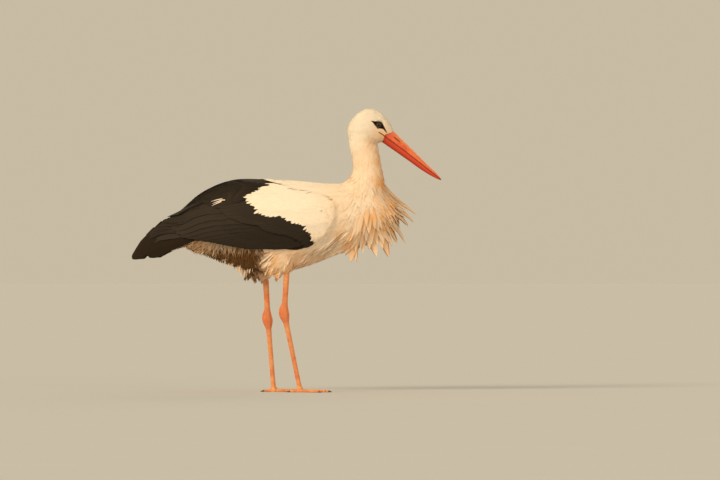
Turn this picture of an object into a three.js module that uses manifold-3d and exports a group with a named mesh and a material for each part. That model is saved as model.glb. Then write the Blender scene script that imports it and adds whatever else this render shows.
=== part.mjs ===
// A life-size standing white stork as closed solids, in millimetres: +X is the bird's front, +Z is up.
// The origin is on the ground, midway between the bill's tip and the wings' tips.
import * as THREE from "three";
import { LoftGeometry } from "three/addons/geometries/LoftGeometry.js";
import { mergeVertices } from "three/addons/utils/BufferGeometryUtils.js";
import Module from "manifold-3d";

const wasm = await Module();
wasm.setup();

// ---------------------------------------------------------------- driving sizes
const GAP = 0.3; // clearance between neighbouring solids
const SLIVER = 0.12; // details smaller than this are smoothed away
const REACH = 400; // half the length of a cutting prism, past the body on both sides
const BILL_LENGTH = 180; // from the corner of the mouth to the tip
const MOUTH = new THREE.Vector3(243, 0, 640); // corner of the mouth, on the middle plane
const BILL_DIP = THREE.MathUtils.degToRad(38.1); // how far the bill points below the horizon
const EYE_RADIUS = 10;
const EYE_AT = new THREE.Vector3(229.5, 14, 667); // the left eye's centre; the right one is its mirror image
const PLUME_CENTRE = new THREE.Vector3(200, 0, 480); // the breast plumes spread from here
// how wide and how thick a lock of feathers is at its middle
const BREAST_LOCK = [26, 15];
const VENT_LOCK = [17, 9];
const THIGH_LOCK = [16, 9];

const MATERIALS = {
  white_feathers: { color: 0xfbe6c8, roughness: 0.9, metalness: 0 },
  black_feathers: { color: 0x2b241c, roughness: 0.6, metalness: 0 },
  red_bill: { color: 0xe2572c, roughness: 0.4, metalness: 0 },
  red_leg_skin: { color: 0xdd7c4d, roughness: 0.55, metalness: 0 },
  claw_horn: { color: 0x4a352a, roughness: 0.45, metalness: 0 },
  dark_eye: { color: 0x17100b, roughness: 0.08, metalness: 0 },
};

// ---------------------------------------------------------------- solids from geometry and back
/** A closed three.js geometry as a manifold-3d solid. */
function solidOf(geometry) {
  const bare = new THREE.BufferGeometry();
  bare.setAttribute("position", geometry.getAttribute("position"));
  if (geometry.index) bare.setIndex(geometry.index);
  const merged = mergeVertices(bare, 1e-4);
  const made = new wasm.Mesh({
    numProp: 3,
    vertProperties: merged.attributes.position.array,
    triVerts: new Uint32Array(merged.index.array),
  });
  return new wasm.Manifold(made);
}

/** A manifold-3d solid as a three.js geometry, without the slivers that cuts leave. */
function geometryOf(solid) {
  const mesh = largest(solid).simplify(SLIVER).getMesh();
  const places = new Float32Array(mesh.numVert * 3);
  for (let i = 0; i < mesh.numVert; i++) {
    places.set(mesh.vertProperties.subarray(i * mesh.numProp, i * mesh.numProp + 3), i * 3);
  }
  const geometry = new THREE.BufferGeometry();
  geometry.setAttribute("position", new THREE.BufferAttribute(places, 3));
  geometry.setIndex(new THREE.BufferAttribute(mesh.triVerts, 1));
  geometry.computeVertexNormals();
  return geometry;
}

function unionOf(solids) {
  return solids.reduce((whole, next) => whole.add(next));
}

/** The largest body of a solid, without the crumbs that a cut leaves. */
function largest(solid) {
  return solid.decompose().sort((a, b) => b.volume() - a.volume())[0];
}

/** Parts a solid at a plane through `point`, leaving GAP between the side that `normal` points to and the other. */
function partAt(solid, point, normal) {
  const unit = normal.clone().normalize();
  const offset = unit.dot(point);
  const ahead = solid.trimByPlane(unit.toArray(), offset + GAP / 2);
  const behind = solid.trimByPlane(unit.clone().negate().toArray(), -offset + GAP / 2);
  return [ahead, behind];
}

// ---------------------------------------------------------------- lofted forms
const SIDEWAYS = new THREE.Vector3(0, 1, 0);
const DOWN = new THREE.Vector3(0, 0, -1);
const BONE = { sides: 8, blunt: 1, even: true }; // a length of leg with square ends

/**
 * A rounded form along a path. Each row is [station, x, y, z, belly, back, side]: where the path is, and how far
 * the section reaches to its belly side, its back and its two sides. Its two ends are rounded over the shares of
 * the length in `round` down to `blunt` of its full section, and `grow` thickens it all over. `hint` gives the
 * belly's direction where the path doesn't stay in an upright plane along the bird, and `upright` keeps every
 * section in a plane across the bird.
 */
function loftedForm(options) {
  const { rows, rings, sides, round = [0.05, 0.05], blunt = 0.12, even, hint, upright, grow = 0 } = options;
  const stations = rows.map((row) => row[0]);
  const values = new THREE.CubicInterpolant(stations, rows.flatMap((row) => row.slice(1)), 6);
  const span = stations.at(-1) - stations[0];
  const at = (t) => Array.from(values.evaluate(stations[0] + span * THREE.MathUtils.clamp(t, 0, 1)));
  const sections = [];
  for (let i = 0; i <= rings; i++) {
    const t = even ? i / rings : (1 - Math.cos((Math.PI * i) / rings)) / 2;
    const [x, y, z, belly, back, side] = at(t);
    const tangent = new THREE.Vector3(...at(t + 0.01)).sub(new THREE.Vector3(...at(t - 0.01))).normalize();
    if (upright) tangent.set(Math.sign(tangent.x), 0, 0);
    const down = hint ? hint.clone().projectOnPlane(tangent) : new THREE.Vector3().crossVectors(SIDEWAYS, tangent);
    down.normalize();
    const across = new THREE.Vector3().crossVectors(tangent, down);
    const toEnd = Math.min(1, t / round[0], (1 - t) / round[1]);
    const taper = Math.max(blunt, Math.sqrt(1 - (1 - toEnd) ** 2));
    const middle = new THREE.Vector3(x, y, z);
    if (i === 0) middle.addScaledVector(tangent, -grow);
    if (i === rings) middle.addScaledVector(tangent, grow);
    const ring = [];
    for (let k = 0; k < sides; k++) {
      const angle = (2 * Math.PI * (k + 0.5)) / sides;
      const deep = ((Math.cos(angle) > 0 ? belly : back) * taper + grow) * Math.cos(angle);
      const wide = (side * taper + grow) * Math.sin(angle);
      ring.push(middle.clone().addScaledVector(down, deep).addScaledVector(across, wide));
    }
    sections.push(ring);
  }
  return solidOf(new LoftGeometry(sections, { capStart: true, capEnd: true }));
}

/** Rows of a form with upright sections, from [x, top, bottom, half-width], given from the tail to the head. */
function profileRows(profile) {
  return profile.map(([x, top, bottom, half]) => {
    const middle = (top + bottom) / 2;
    return [x, x, 0, middle, middle - bottom, top - middle, half];
  });
}

/** A closed outline in the side view, extruded right through the bird. */
function sidePrism(points) {
  const outline = new THREE.Shape(points.map(([x, z]) => new THREE.Vector2(x, z)));
  const geometry = new THREE.ExtrudeGeometry(outline, { depth: 2 * REACH, bevelEnabled: false });
  geometry.rotateX(Math.PI / 2).translate(0, REACH, 0);
  return solidOf(geometry);
}

/** A thin upright blade along a smooth line in the side view, which parts a solid with a gap. */
function parting(points) {
  const line = new THREE.SplineCurve(points.map(([x, z]) => new THREE.Vector2(x, z)));
  const steps = line.getPoints(Math.round(1.5 * points.length));
  const sideOf = (shift) =>
    steps.map((p, i) => {
      const along = steps[Math.min(i + 1, steps.length - 1)].clone().sub(steps[Math.max(i - 1, 0)]).normalize();
      return [p.x - along.y * shift, p.y + along.x * shift];
    });
  return sidePrism([...sideOf(GAP / 2 + 0.05), ...sideOf(-GAP / 2 - 0.05).reverse()]);
}

/** One long pointed lock of feathers from root to tip, widest at its middle and lying flat to `facing`. */
function plume(root, tip, [width, thick], facing) {
  const middle = root.clone().lerp(tip, 0.55);
  const rows = [
    [0, ...root.toArray(), thick * 0.5, thick * 0.5, width * 0.4],
    [1, ...middle.toArray(), thick * 0.5, thick * 0.5, width * 0.5],
    [2, ...tip.toArray(), 0.6, 0.6, 1],
  ];
  return loftedForm({ rows, rings: 2, sides: 5, blunt: 1, even: true, hint: facing });
}

// ---------------------------------------------------------------- trunk, neck and head
// [x, top, bottom, half-width] from the rump to the front of the breast
const TRUNK = [
  [-288, 418, 396, 14],
  [-262, 441, 375, 30],
  [-232, 468, 361, 45],
  [-188, 497, 346, 62],
  [-138, 518, 326, 78],
  [-80, 528, 306, 90],
  [-22, 531, 300, 95],
  [40, 528, 313, 94],
  [104, 521, 336, 86],
  [160, 520, 354, 73],
  [206, 512, 370, 58],
  [242, 500, 390, 41],
  [264, 486, 416, 27],
  [276, 464, 440, 10],
];
// [station, x, y, z, throat side, nape side, half-width] from inside the breast up into the head
const NECK = [
  [0, 160, 0, 432, 70, 60, 50],
  [1, 187, 0, 486, 66, 62, 52],
  [2, 199, 0, 518, 46, 50, 42],
  [3, 202, 0, 546, 37, 38, 34],
  [4, 201, 0, 576, 33, 36, 30],
  [5, 196, 0, 605, 32, 37, 28],
  [6, 190, 0, 632, 33, 37, 27],
  [7, 186, 0, 655, 34, 33, 25],
  [8, 184, 0, 674, 27, 22, 20],
];
// the same, from the back of the head to inside the bill's base
const HEAD = [
  [0, 152, 0, 665, 16, 17, 12],
  [1, 167, 0, 660, 27, 40, 22],
  [2, 190, 0, 654, 31, 58, 27],
  [3, 213, 0, 648, 29.5, 58, 26.5],
  [4, 236, 0, 642, 19, 47, 22],
  [5, 252, 0, 638, 12, 31, 15],
  [6, 264, 0, 634, 7, 14, 8],
];

function trunkForm(grow) {
  return loftedForm({ rows: profileRows(TRUNK), rings: 18, sides: 18, upright: true, grow });
}

function neckForm(grow) {
  return loftedForm({ rows: NECK, rings: 11, sides: 14, grow });
}

function headForm(grow) {
  return loftedForm({ rows: HEAD, rings: 11, sides: 14, round: [0.14, 0.1], grow });
}

function eyeForm(side, grow) {
  const ball = new THREE.SphereGeometry(EYE_RADIUS + grow, 12, 8);
  return solidOf(ball.translate(EYE_AT.x, side * EYE_AT.y, EYE_AT.z));
}

// ---------------------------------------------------------------- bill
// [distance from the corner of the mouth, height of the cutting edge, depth below it, height above it, half-width]
const BILL = [
  [-14, 0, 15.5, 24.6, 14],
  [6, 0.2, 15.6, 24.2, 13.4],
  [40, 1.2, 14.7, 19.6, 10.8],
  [87, 2.2, 13.2, 13.2, 8.2],
  [130, 2.2, 11, 8, 5.9],
  [160, 2, 6.8, 5.2, 4],
  [173, 1.8, 3.6, 3, 2.6],
  [BILL_LENGTH, 1.5, 1.2, 1.2, 1.3],
];
const BILL_AHEAD = new THREE.Vector3(Math.cos(BILL_DIP), 0, -Math.sin(BILL_DIP));
const BILL_UP = new THREE.Vector3(Math.sin(BILL_DIP), 0, Math.cos(BILL_DIP));

function billForm() {
  const rows = BILL.map(([far, high, below, above, half]) => {
    const point = MOUTH.clone().addScaledVector(BILL_AHEAD, far).addScaledVector(BILL_UP, high);
    return [far, ...point.toArray(), below, above, half];
  });
  return loftedForm({ rows, rings: 9, sides: 10, round: [0.01, 0.03], even: true });
}

// ---------------------------------------------------------------- folded wings
// [x, top, bottom, half-width] of the smooth form that both folded wings make round the body
const WINGS_OUTSIDE = [
  [-400, 330, 296, 12],
  [-386, 349, 290, 25],
  [-357, 391, 292, 33],
  [-335, 414, 294, 39],
  [-305, 437, 298, 45],
  [-262, 457, 304, 57],
  [-232, 486, 306, 66],
  [-190, 512, 306, 79],
  [-150, 527, 302, 90],
  [-80, 534, 296, 101],
  [-20, 533, 294, 105],
  [40, 531, 304, 103],
  [104, 524, 326, 94],
  [150, 522, 344, 82],
];
// the hollow between them behind the rump, where the tail lies
const WINGS_HOLLOW = [
  [-378, 352, 280, 8],
  [-350, 386, 280, 24],
  [-305, 426, 280, 36],
  [-262, 446, 284, 48],
  [-232, 474, 288, 57],
  [-190, 495, 292, 68],
  [-150, 508, 296, 76],
];
// side outline of the right wing, clockwise from the top of its front edge; it runs past the back's outline
const WING_OUTLINE = [
  [117, 474], [124, 450], [116, 424], [97, 392], [70, 373], [50, 360], [25, 353], [-6, 355], [-37, 362],
  [-62, 359], [-93, 357], [-137, 363], [-180, 374], [-228, 376], [-262, 363], [-284, 353], [-317, 335],
  [-343, 334], [-348, 343], [-356, 333], [-385, 331], [-391, 345], [-420, 420], [-300, 580], [-40, 580],
  [-36, 523], [7, 511], [60, 499], [96, 490],
];
// the lower edge of the long scapulars, from behind their tips to the back's outline
const SCAPULAR_EDGE = [[-285, 462], [-256, 455], [-190, 473], [-152, 471], [-110, 487], [-76, 511], [-46, 521], [-30, 560]];
// where the white coverts end and the black flight feathers start
const COVERT_EDGE = [
  [-118, 500], [-104, 482], [-80, 450], [-47, 438], [-12, 435], [8, 422], [40, 409], [57, 390], [66, 371], [70, 350],
];
// where the tips of the primaries come out from under the secondaries
const PRIMARY_EDGE = [[-248, 350], [-262, 380], [-292, 415], [-300, 450], [-303, 480]];
const TAIL = [
  [0, -196, 0, 398, 9, 12, 30],
  [1, -240, 0, 386, 5, 8, 38],
  [2, -290, 0, 366, 3, 4, 42],
  [3, -318, 0, 354, 2, 2, 36],
];

function hollowForm(grow) {
  return loftedForm({ rows: profileRows(WINGS_HOLLOW), rings: 7, sides: 12, upright: true, grow });
}

/** The right wing's four solids, by name. */
function wingSolids(body) {
  const inside = body.add(body.mirror([0, 1, 0])); // so that its mirror image fits on the left
  const outside = loftedForm({ rows: profileRows(WINGS_OUTSIDE), rings: 19, sides: 18, upright: true });
  const shell = outside.subtract(inside).subtract(hollowForm(GAP)).intersect(sidePrism(WING_OUTLINE));
  const right = largest(shell.trimByPlane([0, -1, 0], GAP / 2));
  const blades = unionOf([SCAPULAR_EDGE, COVERT_EDGE, PRIMARY_EDGE].map(parting));
  const pieces = right.subtract(blades).decompose().sort((a, b) => b.volume() - a.volume()).slice(0, 4);
  const box = new Map(pieces.map((piece) => [piece, piece.boundingBox()]));
  const take = (score) => {
    const best = pieces.reduce((a, b) => (score(box.get(b)) > score(box.get(a)) ? b : a));
    return pieces.splice(pieces.indexOf(best), 1)[0];
  };
  return {
    wing_primaries: take((b) => -b.min[0]),
    wing_coverts: take((b) => b.max[0]),
    wing_scapulars: take((b) => b.min[2]),
    wing_secondaries: take((b) => -b.min[0]),
  };
}

// ---------------------------------------------------------------- plumes of the breast, vent and thighs
/** The tip of a breast plume, at an angle below the horizon in the side view and a share of the bib's half-width. */
function bibTip(degrees, share) {
  const angle = THREE.MathUtils.degToRad(-degrees);
  const far = (121 + 0.37 * degrees) * (1 - 0.16 * share * share);
  const half = 34 + 0.36 * degrees;
  return PLUME_CENTRE.clone().add(new THREE.Vector3(far * Math.cos(angle), share * half, far * Math.sin(angle)));
}

/** The long pointed plumes that spread from the lower neck and breast, joined by a pad over the breast. */
function bibSolid(body) {
  const pad = unionOf([trunkForm(5), neckForm(4)]).intersect(
    sidePrism([[134, 366], [150, 338], [212, 330], [300, 400], [290, 470], [262, 520], [240, 512], [210, 470], [150, 430]]),
  );
  const plumes = [];
  const fans = 11;
  for (let i = 0; i < fans; i++) {
    const degrees = 15 + (108 * i) / (fans - 1);
    const shares = i % 2 ? [-0.5, 0.5] : [-0.95, 0, 0.95];
    for (const share of shares) {
      const swing = 1 + 0.035 * Math.sin(4.1 * i + 2.3 * share);
      const tip = bibTip(degrees, share).sub(PLUME_CENTRE).multiplyScalar(swing).add(PLUME_CENTRE);
      const root = PLUME_CENTRE.clone().lerp(tip, 0.35);
      const outward = new THREE.Vector3(0, share * 60, 0).add(tip).sub(PLUME_CENTRE);
      const facing = new THREE.Vector3(-outward.z * 0.4, share || 0.2, outward.x * 0.4);
      plumes.push(plume(root, tip, BREAST_LOCK, facing));
    }
  }
  return largest(unionOf([pad, ...plumes]).subtract(body));
}

// [x, top, bottom, half-width] of the loose white feathers under the tail
const VENT = [
  [-266, 380, 364, 16],
  [-232, 382, 352, 30],
  [-190, 376, 338, 38],
  [-148, 364, 320, 42],
  [-112, 352, 306, 38],
  [-84, 340, 299, 22],
];
// side-view tips of the loose feathers under the tail, and how far each lies from the middle plane
const VENT_TIPS = [
  [-268, 356, 8], [-246, 343, -14], [-226, 339, 12], [-204, 334, -8], [-182, 329, 18], [-160, 314, -20],
  [-150, 306, 6], [-136, 303, -24], [-118, 297, 22], [-104, 292, -10],
];

function ventSolid(body) {
  const pad = loftedForm({ rows: profileRows(VENT), rings: 7, sides: 10, upright: true });
  const plumes = VENT_TIPS.map(([x, z, y]) =>
    plume(new THREE.Vector3(x + 26, y * 0.8, z + 24), new THREE.Vector3(x, y, z), VENT_LOCK, new THREE.Vector3(0.4, 1, 0)),
  );
  return largest(unionOf([pad, ...plumes]).subtract(body));
}

// ---------------------------------------------------------------- legs
// side-view places [x, z] down each leg, and how far each lies from the middle plane
const LEGS = {
  right: {
    side: -1,
    hip: [-12, 372, 50],
    knee: [-3, 322, 47],
    shank: [0, 300, 45],
    ankle: [-6, 197, 40],
    foot: [32, 11, 31],
    tufts: [[-26, 280], [-45, 288], [-66, 303]],
  },
  left: {
    side: 1,
    hip: [-66, 366, 50],
    knee: [-56, 312, 48],
    shank: [-54, 282, 47],
    ankle: [-48.5, 182, 43],
    foot: [-34, 11, 24],
    tufts: [[-64, 271], [-86, 279], [-104, 288]],
  },
};
const THIGH_TOP = 350; // the feathered thigh stays below the wing's lower edge
const SOLE_FLAT = 0; // every toe is cut flat at the ground
// [name, turn outwards from straight ahead in degrees, length with the claw, thickness at its root]
const TOES = [
  ["middle", 2, 82, 5.4],
  ["inner", -36, 62, 5],
  ["outer", 34, 68, 5],
  ["hind", 188, 34, 4.6],
];
const CLAW_LENGTH = 10;
const TOE_START = 17.5; // where each toe leaves the ball of the foot
const WEB_THICK = 2.4;

/** A place on a leg: side-view x and z with the distance from the middle plane, as a point. */
function legPoint(leg, [x, z, out]) {
  return new THREE.Vector3(x, leg.side * out, z);
}

/** Rows of a straight length of leg, from [share of the way, rear radius, front radius, half-width]. */
function limbRows(from, to, shape) {
  return shape.map(([share, rear, front, half]) => [share, ...from.clone().lerp(to, share).toArray(), rear, front, half]);
}

function thighSolid(leg, body) {
  const hip = legPoint(leg, leg.hip);
  const knee = legPoint(leg, leg.knee);
  const end = legPoint(leg, leg.shank);
  const rows = [
    [0, ...hip.toArray(), 62, 36, 30],
    [1, ...knee.toArray(), 40, 22, 21],
    [2, ...end.toArray(), 12, 9, 9.5],
  ];
  const form = loftedForm({ rows, rings: 6, sides: 10, round: [0.05, 0.03] });
  const tufts = leg.tufts.map(([x, z], i) => {
    const tip = new THREE.Vector3(x, leg.side * (44 + 3 * i), z);
    const root = new THREE.Vector3(x * 0.6 + knee.x * 0.4 + 6, tip.y, z + 34);
    return plume(root, tip, THIGH_LOCK, new THREE.Vector3(0.2, 1, 0.1));
  });
  const whole = unionOf([form, ...tufts]).trimByPlane([0, 0, -1], -THIGH_TOP);
  return largest(whole.subtract(body));
}

/** The bare leg from the feathers to the toes, parted at the heel joint into shank, heel and tarsus. */
function legSolids(leg, thigh) {
  const top = legPoint(leg, leg.shank);
  const heel = legPoint(leg, leg.ankle);
  const foot = legPoint(leg, leg.foot);
  const down = heel.clone().sub(top).normalize();
  const away = foot.clone().sub(heel).normalize();
  const shankShape = [[0, 8.2, 7.6, 6.8], [0.35, 7.4, 7.2, 6.2], [0.8, 8, 7.4, 6.6], [1, 10, 9, 7.6]];
  const tarsusShape = [[0, 10, 9, 7.6], [0.16, 7.3, 6.8, 5.8], [0.5, 6.2, 6, 4.9], [0.9, 6, 5.8, 5.2], [1, 6.4, 6.4, 6.4]];
  const before = heel.clone().addScaledVector(down, -24);
  const after = heel.clone().addScaledVector(away, 24);
  const heelRows = [
    [0, ...before.toArray(), 7.6, 7.2, 6.4],
    [1, ...heel.clone().addScaledVector(down, -10).toArray(), 14.6, 10, 9.4],
    [2, ...heel.clone().addScaledVector(away, 5).toArray(), 14.6, 12.4, 10.4],
    [3, ...after.toArray(), 7.4, 7.4, 6.2],
  ];
  const whole = unionOf([
    loftedForm({ ...BONE, rows: limbRows(top, heel, shankShape), rings: 5 }),
    loftedForm({ ...BONE, rows: heelRows, rings: 8 }),
    loftedForm({ ...BONE, rows: limbRows(heel, foot, tarsusShape), rings: 8 }),
  ]);
  const [rest, shank] = partAt(whole, before, down);
  const [tarsus, joint] = partAt(rest, after, away);
  const clear = partAt(shank, top.clone().addScaledVector(down, 1), down)[0];
  return { shank: largest(clear.subtract(thigh)), heel: largest(joint), tarsus: largest(tarsus) };
}

/** One toe with its claw, lying on the ground and heading away from the foot. */
function toeForm(leg, [name, turn, long, thick]) {
  const foot = legPoint(leg, leg.foot);
  const angle = leg.side * THREE.MathUtils.degToRad(turn);
  const ahead = new THREE.Vector3(Math.cos(angle), Math.sin(angle), 0);
  const steps = 10;
  const rows = [];
  for (let i = 0; i <= steps; i++) {
    const share = i / steps;
    const toClaw = THREE.MathUtils.smoothstep(share, 1 - CLAW_LENGTH / long - 0.04, 1);
    const pads = 1 + 0.09 * Math.cos(2 * Math.PI * 3 * share);
    const wide = thick * (1 - 0.3 * share) * pads * (1 - 0.7 * toClaw);
    const high = thick * 0.84 * (1 - 0.3 * share) * (1 - 0.62 * toClaw);
    const place = foot.clone().addScaledVector(ahead, 2 + (long - 2) * share);
    place.z = SOLE_FLAT + high * 0.82;
    rows.push([share, ...place.toArray(), high, high, wide]);
  }
  const form = loftedForm({ rows, rings: 9, sides: 6, round: [0.03, 0.04], even: true, hint: DOWN });
  return { name, ahead, form: form.trimByPlane([0, 0, 1], SOLE_FLAT) };
}

/** The ball of the foot with the short webs between the front toes, cut off square below the end of the leg. */
function ballForm(leg) {
  const foot = legPoint(leg, leg.foot);
  const { x, y } = foot;
  const rows = [
    [0, x, y, -2, 9, 10, 9],
    [1, x, y, 4, 10, 11, 10],
    [2, x, y, 12, 8.4, 8.6, 8],
    [3, x, y, 18, 7, 7, 6.6],
  ];
  const ball = loftedForm({ rows, rings: 4, sides: 8, blunt: 1 });
  const turns = TOES.map(([, turn]) => leg.side * THREE.MathUtils.degToRad(turn)).slice(0, 3);
  const web = new THREE.Shape().moveTo(0, 0).absarc(0, 0, TOE_START - 1, Math.min(...turns), Math.max(...turns));
  const sheet = new THREE.ExtrudeGeometry(web, { depth: WEB_THICK, bevelEnabled: false, curveSegments: 4 });
  const whole = unionOf([ball, solidOf(sheet.translate(x, y, SOLE_FLAT + 1.5))]);
  const down = foot.clone().sub(legPoint(leg, leg.ankle)).normalize();
  return partAt(whole, foot.clone().addScaledVector(down, GAP), down)[0].trimByPlane([0, 0, 1], SOLE_FLAT);
}

/** A foot's solids by name: four toes, their claws, and the ball that the toes grow from. */
function footSolids(leg) {
  const foot = legPoint(leg, leg.foot);
  const solids = {};
  const roots = [];
  for (const [i, toe] of TOES.entries()) {
    const { name, ahead, form } = toeForm(leg, toe);
    const [free, root] = partAt(form, foot.clone().addScaledVector(ahead, TOE_START), ahead);
    const [claw, bare] = partAt(free, foot.clone().addScaledVector(ahead, TOES[i][2] - CLAW_LENGTH), ahead);
    solids[`toe_${name}`] = bare;
    solids[`claw_${name}`] = claw;
    roots.push(root);
  }
  solids.ball = unionOf([ballForm(leg), ...roots]);
  return solids;
}

// ---------------------------------------------------------------- the bird
const bird = new THREE.Group();

function addPiece(name, solid, material) {
  const mesh = new THREE.Mesh(geometryOf(solid), new THREE.MeshStandardMaterial(MATERIALS[material]));
  mesh.name = name;
  bird.add(mesh);
  return mesh;
}

const eyes = { left: eyeForm(1, 0), right: eyeForm(-1, 0) };
const sockets = unionOf([eyeForm(1, GAP), eyeForm(-1, GAP)]);
const flesh = unionOf([trunkForm(0), neckForm(0), headForm(0)]);
const clearFlesh = unionOf([trunkForm(GAP), neckForm(GAP), headForm(GAP)]);

// the head, two lengths of neck, the trunk and the rump, parted by thin cuts
const [aboveThroat, belowThroat] = partAt(flesh, new THREE.Vector3(188, 0, 630), new THREE.Vector3(-0.16, 0, 1));
const [upperNeck, belowNeck] = partAt(belowThroat, new THREE.Vector3(201, 0, 578), new THREE.Vector3(-0.06, 0, 1));
const [lowerNeck, body] = partAt(belowNeck, new THREE.Vector3(198, 0, 524), new THREE.Vector3(0.12, 0, 1));
const [trunk, rump] = partAt(body, new THREE.Vector3(-150, 0, 400), new THREE.Vector3(1, 0, 0));
addPiece("head", largest(aboveThroat.subtract(sockets)), "white_feathers");
addPiece("neck_upper", largest(upperNeck), "white_feathers");
addPiece("neck_lower", largest(lowerNeck), "white_feathers");
addPiece("trunk", largest(trunk), "white_feathers");
addPiece("rump", largest(rump), "white_feathers");
addPiece("eye_left", eyes.left, "dark_eye");
addPiece("eye_right", eyes.right, "dark_eye");

const bill = billForm().subtract(headForm(GAP));
const [billUpper, billLower] = partAt(bill, MOUTH.clone().addScaledVector(BILL_UP, 1), BILL_UP);
addPiece("bill_upper", largest(billUpper), "red_bill");
addPiece("bill_lower", largest(billLower), "red_bill");

const tail = loftedForm({ rows: TAIL, rings: 5, sides: 10 });
const tailSolid = largest(tail.intersect(hollowForm(0)).subtract(clearFlesh));
addPiece("tail", tailSolid, "white_feathers");
addPiece("breast_plumes", bibSolid(clearFlesh), "white_feathers");
const tailRoom = loftedForm({ rows: TAIL, rings: 5, sides: 10, grow: GAP });
addPiece("vent_plumes", ventSolid(clearFlesh.add(tailRoom)), "white_feathers");

for (const [name, solid] of Object.entries(wingSolids(clearFlesh))) {
  const material = name === "wing_coverts" ? "white_feathers" : "black_feathers";
  addPiece(`${name}_right`, solid, material);
  addPiece(`${name}_left`, solid, material).scale.y = -1;
}

for (const [which, leg] of Object.entries(LEGS)) {
  const thigh = thighSolid(leg, clearFlesh);
  const { shank, heel, tarsus } = legSolids(leg, thigh);
  addPiece(`thigh_${which}`, thigh, "white_feathers");
  addPiece(`shank_${which}`, shank, "red_leg_skin");
  addPiece(`heel_${which}`, heel, "red_leg_skin");
  const foot = footSolids(leg);
  addPiece(`tarsus_${which}`, largest(tarsus), "red_leg_skin");
  for (const [name, solid] of Object.entries(foot)) {
    addPiece(`${name}_${which}`, solid, name.startsWith("claw") ? "claw_horn" : "red_leg_skin");
  }
}

export default bird;
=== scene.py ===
"""The looks of a life-size standing white stork: skin, feathers, bill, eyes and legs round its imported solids.

Everything is in metres: +X is the bird's front, +Y its left and +Z up, with the origin on the ground.
"""

import math
from functools import lru_cache, partial

import bmesh
import bpy
import numpy as np
from bpy.props import FloatProperty, FloatVectorProperty, PointerProperty
from bpy.types import Operator, Panel, PropertyGroup
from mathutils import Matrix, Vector
from mathutils.bvhtree import BVHTree


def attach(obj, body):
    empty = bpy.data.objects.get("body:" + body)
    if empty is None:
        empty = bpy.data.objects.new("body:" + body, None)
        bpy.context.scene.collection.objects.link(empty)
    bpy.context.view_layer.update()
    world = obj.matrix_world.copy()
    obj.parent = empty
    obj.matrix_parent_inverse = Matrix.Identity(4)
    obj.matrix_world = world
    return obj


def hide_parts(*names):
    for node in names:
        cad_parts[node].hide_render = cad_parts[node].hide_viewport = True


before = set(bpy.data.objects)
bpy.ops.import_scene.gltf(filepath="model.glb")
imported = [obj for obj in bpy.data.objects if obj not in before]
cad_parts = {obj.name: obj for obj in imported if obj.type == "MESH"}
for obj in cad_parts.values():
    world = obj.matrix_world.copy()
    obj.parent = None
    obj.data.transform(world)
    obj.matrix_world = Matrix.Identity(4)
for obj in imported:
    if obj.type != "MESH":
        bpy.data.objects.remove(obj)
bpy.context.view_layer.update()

bl_info = {
    "name": "White Stork Model",
    "version": (1, 0, 0),
    "blender": (4, 5, 0),
    "location": "View3D > Sidebar > Stork",
    "description": "Builds the looks of a life-size standing white stork round its packed solids",
    "category": "Object",
}

MM = 0.001
SIDES = {"right": -1, "left": 1}
FLESH = ["head", "neck_upper", "neck_lower", "trunk", "rump", "thigh_right", "thigh_left"]
WING_NODES = ["wing_coverts", "wing_scapulars", "wing_secondaries", "wing_primaries"]
LEG_NODES = ["shank", "heel", "tarsus", "ball", "toe_middle", "toe_inner", "toe_outer", "toe_hind"]
CLAW_NODES = ["claw_middle", "claw_inner", "claw_outer", "claw_hind"]


# ---- numbers
def mm(*values):
    """Lengths given in millimetres, in metres."""
    return np.array(values, float) * MM


def unit(vectors):
    length = np.linalg.norm(vectors, axis=-1, keepdims=True)
    return vectors / np.maximum(length, 1e-12)


def turned(vectors, normals, angles):
    """Vectors in a surface, turned about its normals."""
    angles = np.asarray(angles)[..., None]
    return vectors * np.cos(angles) + np.cross(normals, vectors) * np.sin(angles)


def ramp(value, start, end):
    """0 before start, 1 after end, and smooth between them."""
    t = np.clip((value - start) / (end - start), 0, 1)
    return t * t * (3 - 2 * t)


def fading(far, reach):
    """1 at no distance, and fading smoothly to nothing at about twice the reach."""
    return np.exp(-((far / reach) ** 2))


def smooth_rows(rows, at):
    """Rows of [place, values...] read at other places along a smooth curve through them."""
    rows = np.asarray(rows, float)
    at = np.clip(at, rows[0, 0], rows[-1, 0])
    slopes = np.gradient(rows[:, 1:], rows[:, 0], axis=0)
    i = np.clip(np.searchsorted(rows[:, 0], at) - 1, 0, len(rows) - 2)
    span = rows[i + 1, 0] - rows[i, 0]
    t = ((at - rows[i, 0]) / span)[..., None]
    low, high = rows[i, 1:], rows[i + 1, 1:]
    a, b = slopes[i] * span[..., None], slopes[i + 1] * span[..., None]
    return low + t * (a + t * (3 * (high - low) - 2 * a - b + t * (2 * (low - high) + a + b)))


def spans(lines):
    """The lengths of the steps from point to point of lines."""
    return np.linalg.norm(np.diff(lines, axis=-2), axis=-1)


def side_view(points):
    return points[..., 0], points[..., 2]


def inside_outline(outline, points):
    """Whether places lie inside a closed outline in the side view."""
    x, z = side_view(points)
    found = np.zeros(x.shape, bool)
    for (x0, z0), (x1, z1) in zip(outline, np.roll(outline, -1, axis=0)):
        crosses = (z0 > z) != (z1 > z)
        with np.errstate(divide="ignore", invalid="ignore"):
            found ^= crosses & (x < (x1 - x0) * (z - z0) / (z1 - z0) + x0)
    return found


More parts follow.
